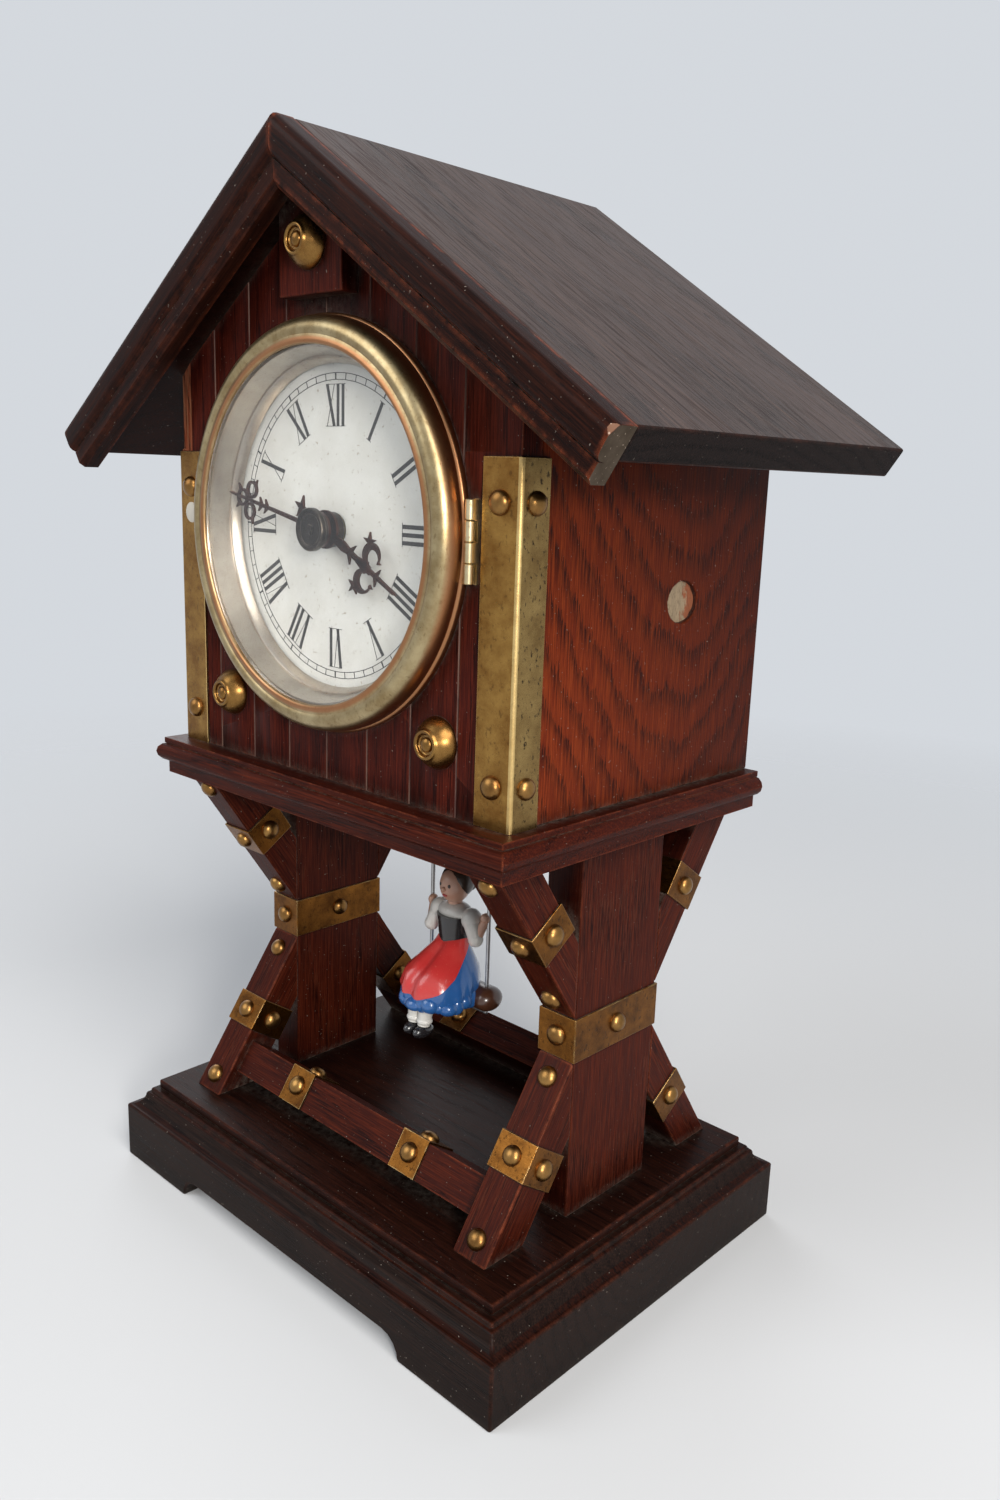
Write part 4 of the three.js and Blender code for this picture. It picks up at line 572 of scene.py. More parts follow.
# %% [markdown]
# ## The stand
# The base is a block with a cove and a step run round its top, and a thin platform on it. Two posts
# rise from the platform, gripped at the waist by a brass strap. In the workshop the mouldings came
# off a plane; here the solids already have them and only need eased corners. The walls of the block
# are painted blacker than its top as painted shade, so its faces take their colour by the way they face.

# %% The stand
plinth = board("base_moulding", "base_block", (base_oak, plinth_shade_oak), "case", 0.8)
# Painted shade: faces that do not look up take the blacker oak.
for face in plinth.data.polygons:
    face.material_index = 0 if face.normal.z > 0.75 else 1
board("base_top", "base_platform", base_oak, "case", 0.6)
for side in ("left", "right"):
    board(f"post_board_{side}", f"post_{side}", post_oak, "case")
    board(f"waist_band_{side}", f"waist_strap_{side}", strap_brass, "case", 0.25)
print("base faces:", len(plinth.data.polygons))

# %% [markdown]
# ## Struts
# Eight slanting bars brace the posts. One bar is drawn, the lower front one, and mirrored to the
# rear and to the top. The frame gives its foot and its two ends, and from them its slant. A place on
# it is given by how far it lies up the bar and out from its front.

# %% The measure of a strut
STRUT = 13.2
post_low, post_high = (corner / MM for corner in span("post_right"))
foot = span("strut_front_lower_right")[0].y / MM
waist_low, waist_high = (corner.z / MM for corner in span("waist_strap_right"))
tilt = math.atan2(post_low.y - foot, waist_low - post_low.z)
strut_length = (waist_low - post_low.z) / math.cos(tilt)
middle = Vector((0, (post_low.y + post_high.y) / 2, (waist_low + waist_high) / 2))
heel = foot + STRUT / math.cos(tilt)
bar_outline = [
    (foot, post_low.z), (heel, post_low.z),
    (post_low.y, waist_low - STRUT / math.sin(tilt)), (post_low.y, waist_low),
]
INTO_YZ = Matrix.Rotation(math.radians(90), 4, "Z")


def on_strut(up, out, x=0.0):
    y = foot + math.sin(tilt) * up - math.cos(tilt) * out
    return Vector((x, y, post_low.z + math.cos(tilt) * up + math.sin(tilt) * out))


def mirrored(end, level):
    flip = Matrix.Diagonal((1, -1 if end == "rear" else 1, -1 if level == "upper" else 1, 1))
    return about(middle * MM, flip)


def bar_of(bm, outline, x0, x1):
    plate(bm, outline, Matrix.Translation((x0 * MM, 0, 0)) @ INTO_YZ, x0 - x1)


lean = math.degrees(tilt)
print("strut:", round(strut_length, 1), "mm long, leaning", round(lean, 1), "degrees")

# %% [markdown]
# The brass band is a strip bent round the middle of the bar, so it is made as a block without ends
# that is then given the thickness of the sheet. Each strut has five dome nails: three on its band
# and one near each end. Their places go on a list, and the nails are made later in one piece.

# %% Struts
STRAP = 0.6
BAND = 11.3
nails = []


def strut_bar(name, finish, flip, x0, x1):
    bm = bmesh.new()
    bar_of(bm, bar_outline, x0, x1)
    ease(bm, 0.5)
    bmesh.ops.transform(bm, matrix=flip, verts=bm.verts)
    flat_piece(f"bar_{name}", bm, finish, "case", (f"strut_{name}",))


def strut_band(name, flip, x0, x1):
    centre = on_strut(strut_length / 2, -STRUT / 2, (x0 + x1) / 2)
    place = Matrix.Translation(centre * MM) @ Matrix.Rotation(-tilt, 4, "X")
    bm = bmesh.new()
    cube(bm, place, (x1 - x0 + 2 * STRAP, STRUT + 2 * STRAP, BAND))
    along = place.to_3x3() @ Vector((0, 0, 1))
    open_ends = [f for f in bm.faces if abs(f.normal.dot(along)) > 0.9]
    bmesh.ops.delete(bm, geom=open_ends, context="FACES")
    bmesh.ops.solidify(bm, geom=bm.faces[:], thickness=0.95 * STRAP * MM)
    ease(bm, 0.25)
    bmesh.ops.transform(bm, matrix=flip, verts=bm.verts)
    flat_piece(f"strut_band_{name}", bm, strap_brass, "case")


def nail_at(flip, spots):
    nails.extend((flip @ (point * MM), flip.to_3x3() @ normal) for point, normal in spots)


out_of_bar = Matrix.Rotation(-tilt, 3, "X") @ Vector((0, -1, 0))
bar_look = dict(rings=(4.0, 30.0, 0.03, 4.0), worn=1.0, corner=1.2, pore=PALE_PORE)
rising_oak = oak("Rising oak", (lean, 0, 90), WINE, **bar_look)
falling_oak = oak("Falling oak", (-lean, 0, 90), WINE, **bar_look)
for end, level in (("front", "lower"), ("front", "upper"), ("rear", "lower"), ("rear", "upper")):
    flip = mirrored(end, level)
    finish = rising_oak if (end == "front") == (level == "lower") else falling_oak
    for side, x0 in (("left", -post_high.x), ("right", post_low.x)):
        x1 = x0 + post_high.x - post_low.x
        x = (x0 + x1) / 2
        strut_bar(f"{end}_{level}_{side}", finish, flip, x0, x1)
        strut_band(f"{end}_{level}_{side}", flip, x0, x1)
        nail_at(flip, [
            (on_strut(strut_length / 2, STRAP, x), out_of_bar),
            (on_strut(strut_length / 2, -STRUT / 2, x1 + STRAP), Vector((1, 0, 0))),
            (on_strut(strut_length / 2, -STRUT / 2, x0 - STRAP), Vector((-1, 0, 0))),
            (on_strut(6.0, 0, x), out_of_bar),
            (on_strut(strut_length - 6.5, 0, x), out_of_bar),
        ])
print("struts: 8, nails so far:", len(nails))

# %% [markdown]
# ## Rails
# A rail joins the two lower struts in front and another behind. It lies a little back from the front
# of the struts and leans with them. Each carries two short bands bent over its front and top, held
# by a nail on each face.

# %% Rails
RECESS = 2.75
RAIL_DEPTH = 12.0
RAIL_HEIGHT = 11.5
BAND_PLACES = (-28.0, 28.0)
rail_oak = oak("Rail oak", ALONG_X, WINE, rings=(4.0, 24.0, 0.04, 4.0))
low_edge = (RECESS + RAIL_DEPTH) * math.tan(tilt)
top_edge = low_edge + RAIL_HEIGHT
rail_back = -RECESS - RAIL_DEPTH


def rail_outline(*spots):
    return [(p.y, p.z) for p in (on_strut(*spot) for spot in spots)]


bar_spots = rail_outline(
    (low_edge, -RECESS), (top_edge, -RECESS), (top_edge, rail_back), (low_edge, rail_back),
)
wrap_spots = rail_outline(
    (low_edge, STRAP - RECESS), (top_edge + STRAP, STRAP - RECESS), (top_edge + STRAP, rail_back),
    (top_edge, rail_back), (top_edge, -RECESS), (low_edge, -RECESS),
)
out_of_rail = on_strut(0, 1) - on_strut(0, 0)
up_rail = on_strut(1, 0) - on_strut(0, 0)
for end in ("front", "rear"):
    flip = mirrored(end, "lower")
    bm = bmesh.new()
    bar_of(bm, bar_spots, -post_low.x, post_low.x)
    ease(bm, 0.5)
    bmesh.ops.transform(bm, matrix=flip, verts=bm.verts)
    flat_piece(f"rail_bar_{end}", bm, rail_oak, "case", (f"rail_{end}",))
    bm = bmesh.new()
    for x in BAND_PLACES:
        bar_of(bm, wrap_spots, x - BAND / 2, x + BAND / 2)
        nail_at(flip, [
            (on_strut(low_edge + 0.55 * RAIL_HEIGHT, STRAP - RECESS, x), out_of_rail),
            (on_strut(top_edge + STRAP, -RECESS - 0.5 * RAIL_DEPTH, x), up_rail),
        ])
    ease(bm, 0.25)
    bmesh.ops.transform(bm, matrix=flip, verts=bm.verts)
    flat_piece(f"rail_bands_{end}", bm, strap_brass, "case")
print("rails: 2, nails so far:", len(nails))

# %% [markdown]
# ## The case
# The case is a house: a moulded floor, two sides, a back and a block in the gable. They are eased
# copies of their solids. The hole in the right side was torn rather than drilled, so its rim is
# drawn out to an oval before the edges are eased.

# %% The case floor, sides and back
HOLE = (19.6, 211.0)
HOLE_RADIUS = 5.4
side_out = span("case_right")[1].x / MM
hole_centre = Vector((side_out, *HOLE)) * MM
oval = about(hole_centre, Matrix.Diagonal((1, 1.27, 1.09, 1)))
board("case_floor_board", "case_floor", floor_oak, "case", 0.7)
board("case_side_left", "case_left", side_oak, "case")
bm = plain_copy("case_right")
rim = [v for v in bm.verts if (v.co - hole_centre).length < 1.2 * HOLE_RADIUS * MM]
bmesh.ops.transform(bm, matrix=oval, verts=rim)
ease(bm, 0.6)
flat_piece("case_side_right", bm, side_oak, "case", ("case_right",))
board("case_back_frame", "case_back", front_oak, "case")
board("gable_board", "gable_block", front_oak, "case", 0.5)
print("points on the rim of the hole:", len(rim))

# %% [markdown]
# The back door is a plain board that fills its opening, with the leaf of its hinge on it. The solid
# has both in one, so the board is drawn anew and the leaf is what stands proud of the back. It is
# cut a hair above the wood, because two faces in one place would flicker.

# %% The back door
board("back_turn_button", "turn_button", clean_brass, "turn_button", 0.3)
board("back_hinge_leaf", "back_door_hinge", clean_brass, "case", 0.2)
back_y = span("case_back")[1].y
door_low, door_high = span("back_door")
door_size = Vector((-2 * door_low.x, back_y - door_low.y, door_high.z - door_low.z))
door_centre = Vector((0, door_low.y + door_size.y / 2, door_low.z + door_size.z / 2))
bm = bmesh.new()
cube(bm, Matrix.Translation(door_centre), door_size / MM)
ease(bm, 0.5)
flat_piece("door_board", bm, front_oak, "back_door", ("back_door",))
bm = plain_copy("back_door")
cut(bm, (0, back_y / MM + 0.03, 0), (0, -1, 0))
ease(bm, 0.2)
flat_piece("door_leaf", bm, clean_brass, "back_door")
print("door in mm:", [round(extent / MM, 1) for extent in door_size])

# %% [markdown]
# The floor of the torn hole is bare wood, pale on one side and red on the other, with a ragged line
# between them and dark shreds, which are torn fibres with painted shadow among them. It is a disc in
# rings whose points are pushed in and out to make splinters, because bump alone would leave the light
# on it flat.

# %% The torn hole
torn_wood, tree, vector = new_finish("Torn wood", shift=(0, -HOLE[0], -HOLE[1]))
across_hole = put(tree, "ShaderNodeSeparateXYZ", {0: vector}).outputs["Y"]
ragged = calc(tree, "MULTIPLY", noise(tree, vector, (0.3, 0.5, 0.3), 6.0, 0.7), 12.0)
split = remap(tree, calc(tree, "ADD", across_hole, ragged), 7.4, 8.6)
# Dark shreds: torn fibres and painted shadow among them.
shreds_and_shadows = remap(tree, noise(tree, vector, (0.6, 1.5, 0.5), 6.0, 0.75), 0.5, 0.66, 0.0, 0.5)
torn = mix(tree, split, (0.29, 0.215, 0.135), (0.25, 0.075, 0.03))
surface(tree, Base_Color=mix(tree, shreds_and_shadows, torn, (0.05, 0.028, 0.018)), Roughness=0.9)

HOLE_DEPTH = 1.5
disc_rings = [(HOLE_RADIUS * part / 7, 0.0) for part in range(8)] + [(HOLE_RADIUS, -0.9), (0, -0.9)]
bm = bmesh.new()
spin_into(bm, disc_rings, Vector((side_out - HOLE_DEPTH, *HOLE)) * MM, (1, 0, 0), 36)
for vert in bm.verts:
    if vert.co.x > (side_out - HOLE_DEPTH - 0.3) * MM:
        across, up = vert.co.y / MM, vert.co.z / MM
        splinter = math.sin(2.3 * across + 0.6 * math.sin(0.9 * up))
        splinter += 0.5 * math.sin(4.1 * across + 0.7 * up)
        vert.co.x += (0.14 * splinter + 0.03 * (across - HOLE[0])) * MM
bmesh.ops.transform(bm, matrix=oval, verts=bm.verts)
print("points on the torn floor:", len(bm.verts))
new_piece("hole_floor", bm, torn_wood, "case", (), 15)

# %% [markdown]
# ## The front boards
# The front is made of upright boards. The joints between them are shallow V grooves with pale worn
# edges here and there. Three close cuts mark each groove, and the middle one is pushed in. At the
# left edge a strip has lost its stain and some of its wood.

# %% Grooves between the front boards
PLANK = 18.0
GROOVE = 0.34
NEAR = 0.01 * MM
front_low, front_high = span("case_front")
bm = plain_copy("case_front")
for index in range(-3, 4):
    x = index * PLANK * MM
    for offset in (-GROOVE, 0, GROOVE):
        score(bm, (x + offset * MM, 0, 0), (1, 0, 0))
    sunk = [v for v in bm.verts if abs(v.co.x - x) < NEAR and v.co.y < front_low.y + NEAR]
    bmesh.ops.translate(bm, verts=sunk, vec=(0, 1.6 * GROOVE * MM, 0))
    for face in {f for v in sunk for f in v.link_faces if abs(f.normal.z) < 0.5}:
        if max(abs(v.co.x - x) for v in face.verts) < 1.1 * GROOVE * MM:
            face.material_index = 1
print("front boards between", round(front_low.x / MM, 1), "and", round(front_high.x / MM, 1))

# %% [markdown]
# The bare strip starts just above the left corner strap. Three more cuts mark it out, and its outer
# edge is pushed back. Its oak has the raw red and cream of torn wood.

# %% The bare strip
STRIP = 6.0
BARE = ((0.026, 0.0060, 0.0035), (0.200, 0.0360, 0.0150), (0.430, 0.1900, 0.1000))
bare_oak = oak(
    "Bare oak", (0, 0, 0), BARE, rings=(3.4, 20.0, 0.3, 18.0), share=0.5, dusty=0.2, grime_and_shade=0.3,
)
groove_paint = paint("Groove", (0.05, 0.014, 0.010), (0.40, 0.25, 0.17), 0.7, 0.9, 0.0, 0.12)
strap_top = span("corner_strap_left")[1].z
score(bm, (front_low.x + STRIP * MM, 0, 0), (1, 0, 0))
score(bm, (0, 0, strap_top + 0.2 * MM), (0, 0, 1))
score(bm, (0, 0, strap_top + 1.0 * MM), (0, 0, 1))
outer_edge = [v for v in bm.verts if v.co.x < front_low.x + NEAR and v.co.y < front_low.y + NEAR]
lost = [v for v in outer_edge if v.co.z > strap_top + 0.5 * MM]
bmesh.ops.translate(bm, verts=lost, vec=(0, 0.9 * MM, 0))
for face in {f for v in lost for f in v.link_faces if f.normal.y < -0.5}:
    face.material_index = 2
finish = (front_oak, groove_paint, bare_oak)
new_piece("front_boards", bm, finish, "case", ("case_front",), 20)
print("points pushed back:", len(lost))

# %% [markdown]
# ## The roof
# Two wide boards make the roof, with the grain running from the ridge down to the eaves, and two
# moulded verge boards close their front ends. The slopes are grey and streaked, their grey partly the
# oak's own and partly painted sheen, the eaves almost black and the verges sooty with red edges that
# are partly rubbed and partly a painted highlight. A board has all its finishes in one piece, and
# its faces choose by the way they look.

# %% The roof boards
PITCH = 33.6
NIGHT = ((0.003, 0.0022, 0.0021), (0.009, 0.0062, 0.0058), (0.024, 0.0160, 0.0145))
# SLATE is lighter and greyer than the other stains: partly the slopes' own colour, partly painted sheen.
SLATE = ((0.012, 0.0065, 0.0055), (0.036, 0.0200, 0.0165), (0.090, 0.0580, 0.0480))
BLACK_PORE = (0.004, 0.0025, 0.002)
eave_oak = oak(
    "Eave oak", (0, 90, 0), NIGHT, rings=(3.0, 30.0, 0.03, 3.0), gloss=0.6, worn=0.3, relief=(0.7, 0.2),
)


def roof_board(side, turn):
    slope_oak = oak(
        f"Roof oak {side}", (0, turn, 90), SLATE, rings=(7.0, 60.0, 0.03, 7.0), pore=BLACK_PORE,
        worn=0.3, dusty=0.3, streaks=0.55, gloss=0.42, varnish=(0.2, 0.03), relief=(0.6, 0.15),
    )
    finish = (slope_oak, base_oak, eave_oak)
    covered = board(f"roof_board_{side}", f"roof_{side}", finish, "case", 0.7)
    for face in covered.data.polygons:
        face.material_index = 0 if face.normal.z > 0.75 else 2 if abs(face.normal.x) > 0.7 else 1


print("roof pitch:", PITCH)

# %% [markdown]
# The lower end of the right verge is bruised: the sawn end has lost its stain, and a chip is gone
# from its upper corner. The chip is one slanting cut, and its face gets the colour of fresh wood.

# %% The verge boards
CHIP_FACING = Vector((0.603, -0.754, 0.264))
CHIP = ((114.2, -68.2, 253.47), CHIP_FACING)
chipped_end = paint(
    "Chipped end", (0.050, 0.037, 0.026), (0.30, 0.24, 0.19), 0.8, 0.9, 0.0, 1.4, shine=0.05,
)
fresh_chip = paint(
    "Fresh chip", (0.17, 0.080, 0.048), (0.46, 0.34, 0.27), 0.8, 0.9, 0.0, 0.9, shine=0.05,
)


# The red edges are partly rubbed wear and partly a painted highlight; the right verge gets far more of
# them than the left.
def verge_board(side, turn, rubbed, chip):
    verge_oak = oak(
        f"Verge oak {side}", (0, turn, 0), SOOT, rings=(5.0, 30.0, 0.03, 4.0), worn=rubbed, corner=2.8,
    )
    finish = (verge_oak, chipped_end, fresh_chip)
    closed = board(f"verge_moulding_{side}", f"verge_{side}", finish, "case", 0.6, chip)
    for face in closed.data.polygons:
        sawn = face.normal.z < -0.2 and face.normal.x > 0.75
        face.material_index = 2 if face.normal.dot(CHIP_FACING) > 0.97 else 1 if sawn else 0


for side, turn, rubbed, chip in (("left", 90 + PITCH, 0.3, None), ("right", -90 - PITCH, 1.0, CHIP)):
    roof_board(side, turn)
    verge_board(side, turn, rubbed, chip)
print("roof boards: 2, verge boards: 2")

# %% [markdown]
# ## Straps and nails
# Sheet straps fold round the front corners and round the waist of the posts. The fold of a corner
# strap is rolled over and rubbed, so it is bevelled in six steps, and it has a brighter brass of its
# own that is partly rubbed brass and partly a painted highlight.
# The dome nails that hold the straps join the list that the struts and rails began.

# %% Corner straps
FOLD = 1.5
NAIL_INSET = 6.1 * MM
NAIL_HEIGHTS = (0.167, 0.238)
for side, sign in (("left", -1), ("right", 1)):
    low, high = span(f"corner_strap_{side}")
    out_x = high.x if sign > 0 else low.x
    leg_x = low.x + NAIL_INSET if sign > 0 else high.x - NAIL_INSET
    fold = Vector((out_x, low.y, 0))
    bm = plain_copy(f"corner_strap_{side}")
    folded = [e for e in bm.edges if all((v.co - fold).xy.length < NEAR for v in e.verts)]
    bmesh.ops.bevel(
        bm, geom=folded, offset=FOLD * MM, affect="EDGES", segments=6, profile=0.5, material=-1,
    )
    ease(bm, 0.15, 1)
    bm.normal_update()
    # Painted highlight: the bent faces of the fold take the brighter brass.
    for face in bm.faces:
        bent = min(abs(face.normal.x), abs(face.normal.y)) > 0.3 and face.normal.y < 0
        face.material_index = 2 if bent else 1 if abs(face.normal.x) > 0.75 else 0
    finish = (leg_brass, aged_brass, fold_highlight_brass)
    flat_piece(f"corner_band_{side}", bm, finish, "case", (f"corner_strap_{side}",))
    for z in NAIL_HEIGHTS:
        nails.append((Vector((leg_x, low.y, z)), Vector((0, -1, 0))))
        nails.append((Vector((out_x, (low.y + high.y) / 2 + 0.4 * MM, z)), Vector((sign, 0, 0))))
    low, high = span(f"waist_strap_{side}")
    centre = (low + high) / 2
    for axis, half in ((Vector((1, 0, 0)), centre.x - low.x), (Vector((0, 1, 0)), centre.y - low.y)):
        nails.append((centre + axis * half, axis))
        nails.append((centre - axis * half, -axis))
print("corner straps: 2, nails in all:", len(nails))

# %% [markdown]
# A nail is copper headed: a quarter circle spun about its shank, with a small change of size from
# one to the next, since they were struck by hand. In the left strap one nail is lost and its hole is
# filled with chalk, a low disc with a soft rim.

# %% Dome nails and the filled hole
bm = bmesh.new()
for index, (point, normal) in enumerate(nails):
    radius = 3.15 + 0.15 * math.sin(index * 2.4)
    dome = bow(0, 0, radius, 0.72 * radius, 0, 90, 6)
    head = [(0, -0.15), (radius, -0.15)] + dome[:-1] + [(0, dome[-1][1])]
    spin_into(bm, head, point, normal, 20)
new_piece("dome_nails", bm, nail_copper, "case", (), 50)
chalk = paint("Chalk filler", (0.66, 0.62, 0.54), (0.40, 0.34, 0.26), 0.8, 0.6, 0.0, 0.9)
low, high = span("corner_strap_left")
filling = [(0, 0), (3.2, 0), (3.2, 0.1), (2.9, 0.25), (0, 0.3)]
bm = bmesh.new()
spin_into(bm, filling, (high.x - NAIL_INSET, low.y, 0.230), (0, -1, 0), 24)
new_piece("filled_nail_hole", bm, chalk, "case", (), 40)
print("dome nails:", len(nails))

# %% [markdown]
# ## Bosses
# Three turned bosses decorate the front. Each is a bell with a rolled rim at its end and a button
# inside the rim. On a lathe it is one cut profile, and here it is the same profile, spun.

# %% Bosses
BUTTON_SEAT = 4.1
button = bow(0, 0, 2.1, 1.35, 0, 90, 6)[:-1]
boss_profile = [
    (0, 0), (7.1, 0), (7.2, 0.25), (7.15, 0.7), (6.9, 1.3), (6.45, 2.2), (5.9, 3.0),
    (5.25, 3.8), (4.6, 4.4),
]
boss_profile += bow(3.6, 4.7, 0.62, 0.7, 12, 190, 8)
boss_profile += [(2.85, 4.3), (2.6, BUTTON_SEAT), (2.25, BUTTON_SEAT)]
boss_profile += [(r, BUTTON_SEAT + up) for r, up in button] + [(0, 5.45)]
for side in ("top", "left", "right"):
    low, high = span(f"boss_{side}")
    seat = Vector(((low.x + high.x) / 2, high.y, (low.z + high.z) / 2))
    bm = bmesh.new()
    spin_into(bm, boss_profile, seat, (0, -1, 0), 40)
    new_piece(f"turned_boss_{side}", bm, boss_brass, "case", (f"boss_{side}",), 35)
print("bosses: 3, with", len(boss_profile), "points in the profile")

# %% [markdown]
# ## Bezel, glass and sight ring
# The bezel is spun brass: a sloping foot, a bead, a wide roll and a rolled lip that holds the glass.
# Behind the glass a silvered cone leads the eye down to the dial. All three are profiles spun about
# the axis of the hands.

# %% Bezel
TOWARDS = (0, -1, 0)
bezel_low, bezel_high = span("bezel")
dial_z = (bezel_low.z + bezel_high.z) / 2
bezel_profile = [(50.2, 0), (57.2, 0), (57.4, 0.3), (57.4, 1.6), (57.2, 2.0), (56.7, 2.3)]
bezel_profile += bow(52.9, 3.2, 3.9, 5.4, 0, 112, 16)
bezel_profile += bow(49.85, 7.65, 1.05, 0.95, 60, 200, 7)
bezel_profile += [(48.8, 7.45), (50.2, 7.4)]
bm = bmesh.new()
spin_into(bm, bezel_profile, Vector((0, bezel_high.y, dial_z)), TOWARDS, 128, closed=True)
new_piece("bezel_ring", bm, bezel_brass, "bezel", ("bezel",), 35)
print("bezel radius:", round((bezel_high.z - bezel_low.z) / MM / 2, 1))

# %% [markdown]
# The hinge has four knuckles on one pin. Two are soldered to the bezel and turn with it, and two
# hang on a leaf on the case, so they are two pieces on two bodies.

# %% Bezel hinge
hinge_low, hinge_high = span("bezel_hinge")
pin = Vector((58.95, -52.45, hinge_low.z / MM))
step = (hinge_high.z - hinge_low.z) / MM / 4
knuckle = [(0, 0.1), (1.1, 0.1), (1.3, 0.3), (1.3, step - 0.3), (1.1, step - 0.1), (0, step - 0.1)]
TABS = {
    "bezel": ((0, 2), Vector((-1.4, 0.9, 0)), (2.6, 1.5, step - 0.2)),
    "case": ((1, 3), Vector((0.65, 1.1, 0)), (1.3, 2.3, step - 0.2)),
}
for body, (places, reach, tab) in TABS.items():
    bm = bmesh.new()
    for place in places:
        spin_into(bm, knuckle, (pin + Vector((0, 0, place * step))) * MM, (0, 0, 1), 20)
        centre = pin + reach + Vector((0, 0, (place + 0.5) * step))
        cube(bm, Matrix.Translation(centre * MM), tab)
    if body == "case":
        leaf_centre = Vector((59.6, -50.5, dial_z / MM))
        cube(bm, Matrix.Translation(leaf_centre * MM), (1.3, 0.7, 4 * step))
    nodes = ("bezel_hinge",) if body == "case" else ()
    new_piece(f"hinge_knuckles_{body}", bm, hinge_brass, body, nodes, 40)
print("knuckle length:", round(step, 2))

# %% [markdown]
# The pane is a thin disc with a ground edge. The sight ring is a cone with a step at its foot, and
# its wall has a thickness, because its edge shows when the bezel is open.

# %% Glass and sight ring
pane = [(0, 0), (49.0, 0), (49.1, 0.1), (49.1, 0.9), (49.0, 1.0), (0, 1.0)]
bm = bmesh.new()
spin_into(bm, pane, Vector((0, span("bezel_glass")[1].y, dial_z)), TOWARDS, 96)
new_piece("glass_pane", bm, glass, "bezel", ("bezel_glass",), 40)
ring_profile = [
    (50, 8.3), (50, 10.25), (49.2, 10.25), (49.15, 9.15), (48.3, 9.1), (46.9, 3.5), (46.75, 2.9),
    (46.2, 3.05), (45.7, 2.6), (44.8, 0.2), (44.9, 0), (45.6, 0), (46.6, 2.0), (47.7, 3.3), (49.1, 8.3),
]
bm = bmesh.new()
spin_into(bm, ring_profile, Vector((0, span("sight_ring")[1].y, dial_z)), TOWARDS, 128, closed=True)
new_piece("sight_cone", bm, silver, "bezel", ("sight_ring",), 30)
print("pane radius:", pane[2][0], "and sight ring radius:", ring_profile[0][0])

# %% [markdown]
# ## The dial
# A printed dial: Roman hours with thick uprights and hairlines, their feet to the centre, inside a
# minute track of two circles. Every stroke is a thin bar laid on the white, because printing ink
# has hardly any thickness.

# %% Strokes and numerals
INK = 0.08
HOUR_FOOT = 28.2
HOUR_TOP = 39.4
THICK = 1.12
HAIR = 0.17
WIDTHS = {"I": 2.15, "V": 3.9, "X": 4.2}
dial_face = Vector((0, span("dial")[0].y, dial_z))


def stroke(bm, angle, start, end, width):
    start, end = Vector((start[0], 0, start[1])), Vector((end[0], 0, end[1]))
    along = end - start
    slant = Matrix.Rotation(math.atan2(along.x, along.z), 4, "Y")
    around = Matrix.Translation(dial_face) @ Matrix.Rotation(math.radians(angle), 4, "Y")
    place = around @ Matrix.Translation(((start + end) / 2 + Vector((0, -INK / 2, 0))) * MM) @ slant
    cube(bm, place, (width, INK, along.length))


def numeral(bm, letters, angle):
    total = sum(WIDTHS[letter] for letter in letters)
    x = -total / 2
    for letter in letters:
        half = WIDTHS[letter] / 2 - 0.55
        middle_x = x + WIDTHS[letter] / 2
        foot_x = middle_x + half if letter == "X" else middle_x
        top_x = middle_x if letter == "I" else middle_x - half
        stroke(bm, angle, (foot_x, HOUR_FOOT), (top_x, HOUR_TOP), THICK)
        if letter != "I":
            hair_x = middle_x - half if letter == "X" else middle_x
            stroke(bm, angle, (hair_x, HOUR_FOOT), (middle_x + half, HOUR_TOP), HAIR)
        x += WIDTHS[letter]
    for level in (HOUR_FOOT, HOUR_TOP):
        stroke(bm, angle, (-total / 2, level), (total / 2, level), HAIR)


print("dial face at y =", round(dial_face.y / MM, 2))

# %% [markdown]
# The hours stand every 30 degrees and the minute strokes every 6, thicker at each hour. The track
# runs between two thin spun bands.

# %% The dial
TRACK = (40.6, 42.4)
HOURS = ("XII", "I", "II", "III", "IIII", "V", "VI", "VII", "VIII", "IX", "X", "XI")
bm = bmesh.new()
for hour, letters in enumerate(HOURS):
    numeral(bm, letters, 30 * hour)
for radius in TRACK:
    band = [(radius - 0.1, 0), (radius + 0.1, 0), (radius + 0.1, INK), (radius - 0.1, INK)]
    spin_into(bm, band, dial_face, TOWARDS, 180, closed=True)
for minute in range(60):
    stroke(bm, 6 * minute, (0, TRACK[0]), (0, TRACK[1]), 0.5 if minute % 5 == 0 else 0.22)
new_piece("dial_print", bm, dial_black, "case", (), 40)
board("dial_plate", "dial", dial_white, "case", 0.1)
print("hours printed:", len(HOURS))

# %% [markdown]
# ## The hands
# Pierced steel hands in the Black Forest manner: a hub, a pair of crescents whose horns end in
# points, and a slim tip. Each shape is an outline cut from one sheet, so they join where they cross.

# %% Shapes for the hands
def crescent(x, z, radius, width, opening, facing):
    outer = bow(x, z, radius, radius, facing + opening, facing + 360 - opening, 18)
    lead = math.radians(facing)
    cx, cz = x + 0.55 * width * math.cos(lead), z + 0.55 * width * math.sin(lead)
    small = radius - 0.5 * width
    return outer + bow(cx, cz, small, small, facing + 360 - opening, facing + opening, 18)


def thorn(x, z, reach, width, facing):
    cos, sin = math.cos(math.radians(facing)), math.sin(math.radians(facing))
    left = (x - sin * width / 2, z + cos * width / 2)
    right = (x + sin * width / 2, z - cos * width / 2)
    return [left, (x + cos * reach, z + sin * reach), right]


def fleur(x, z, reach, width, facing):
    return [thorn(x, z, reach, width, facing + spread) for spread in (-75, 0, 75)]


def taper(z0, z1, w0, w1):
    return [(-w0 / 2, z0), (-w1 / 2, z1), (w1 / 2, z1), (w0 / 2, z0)]


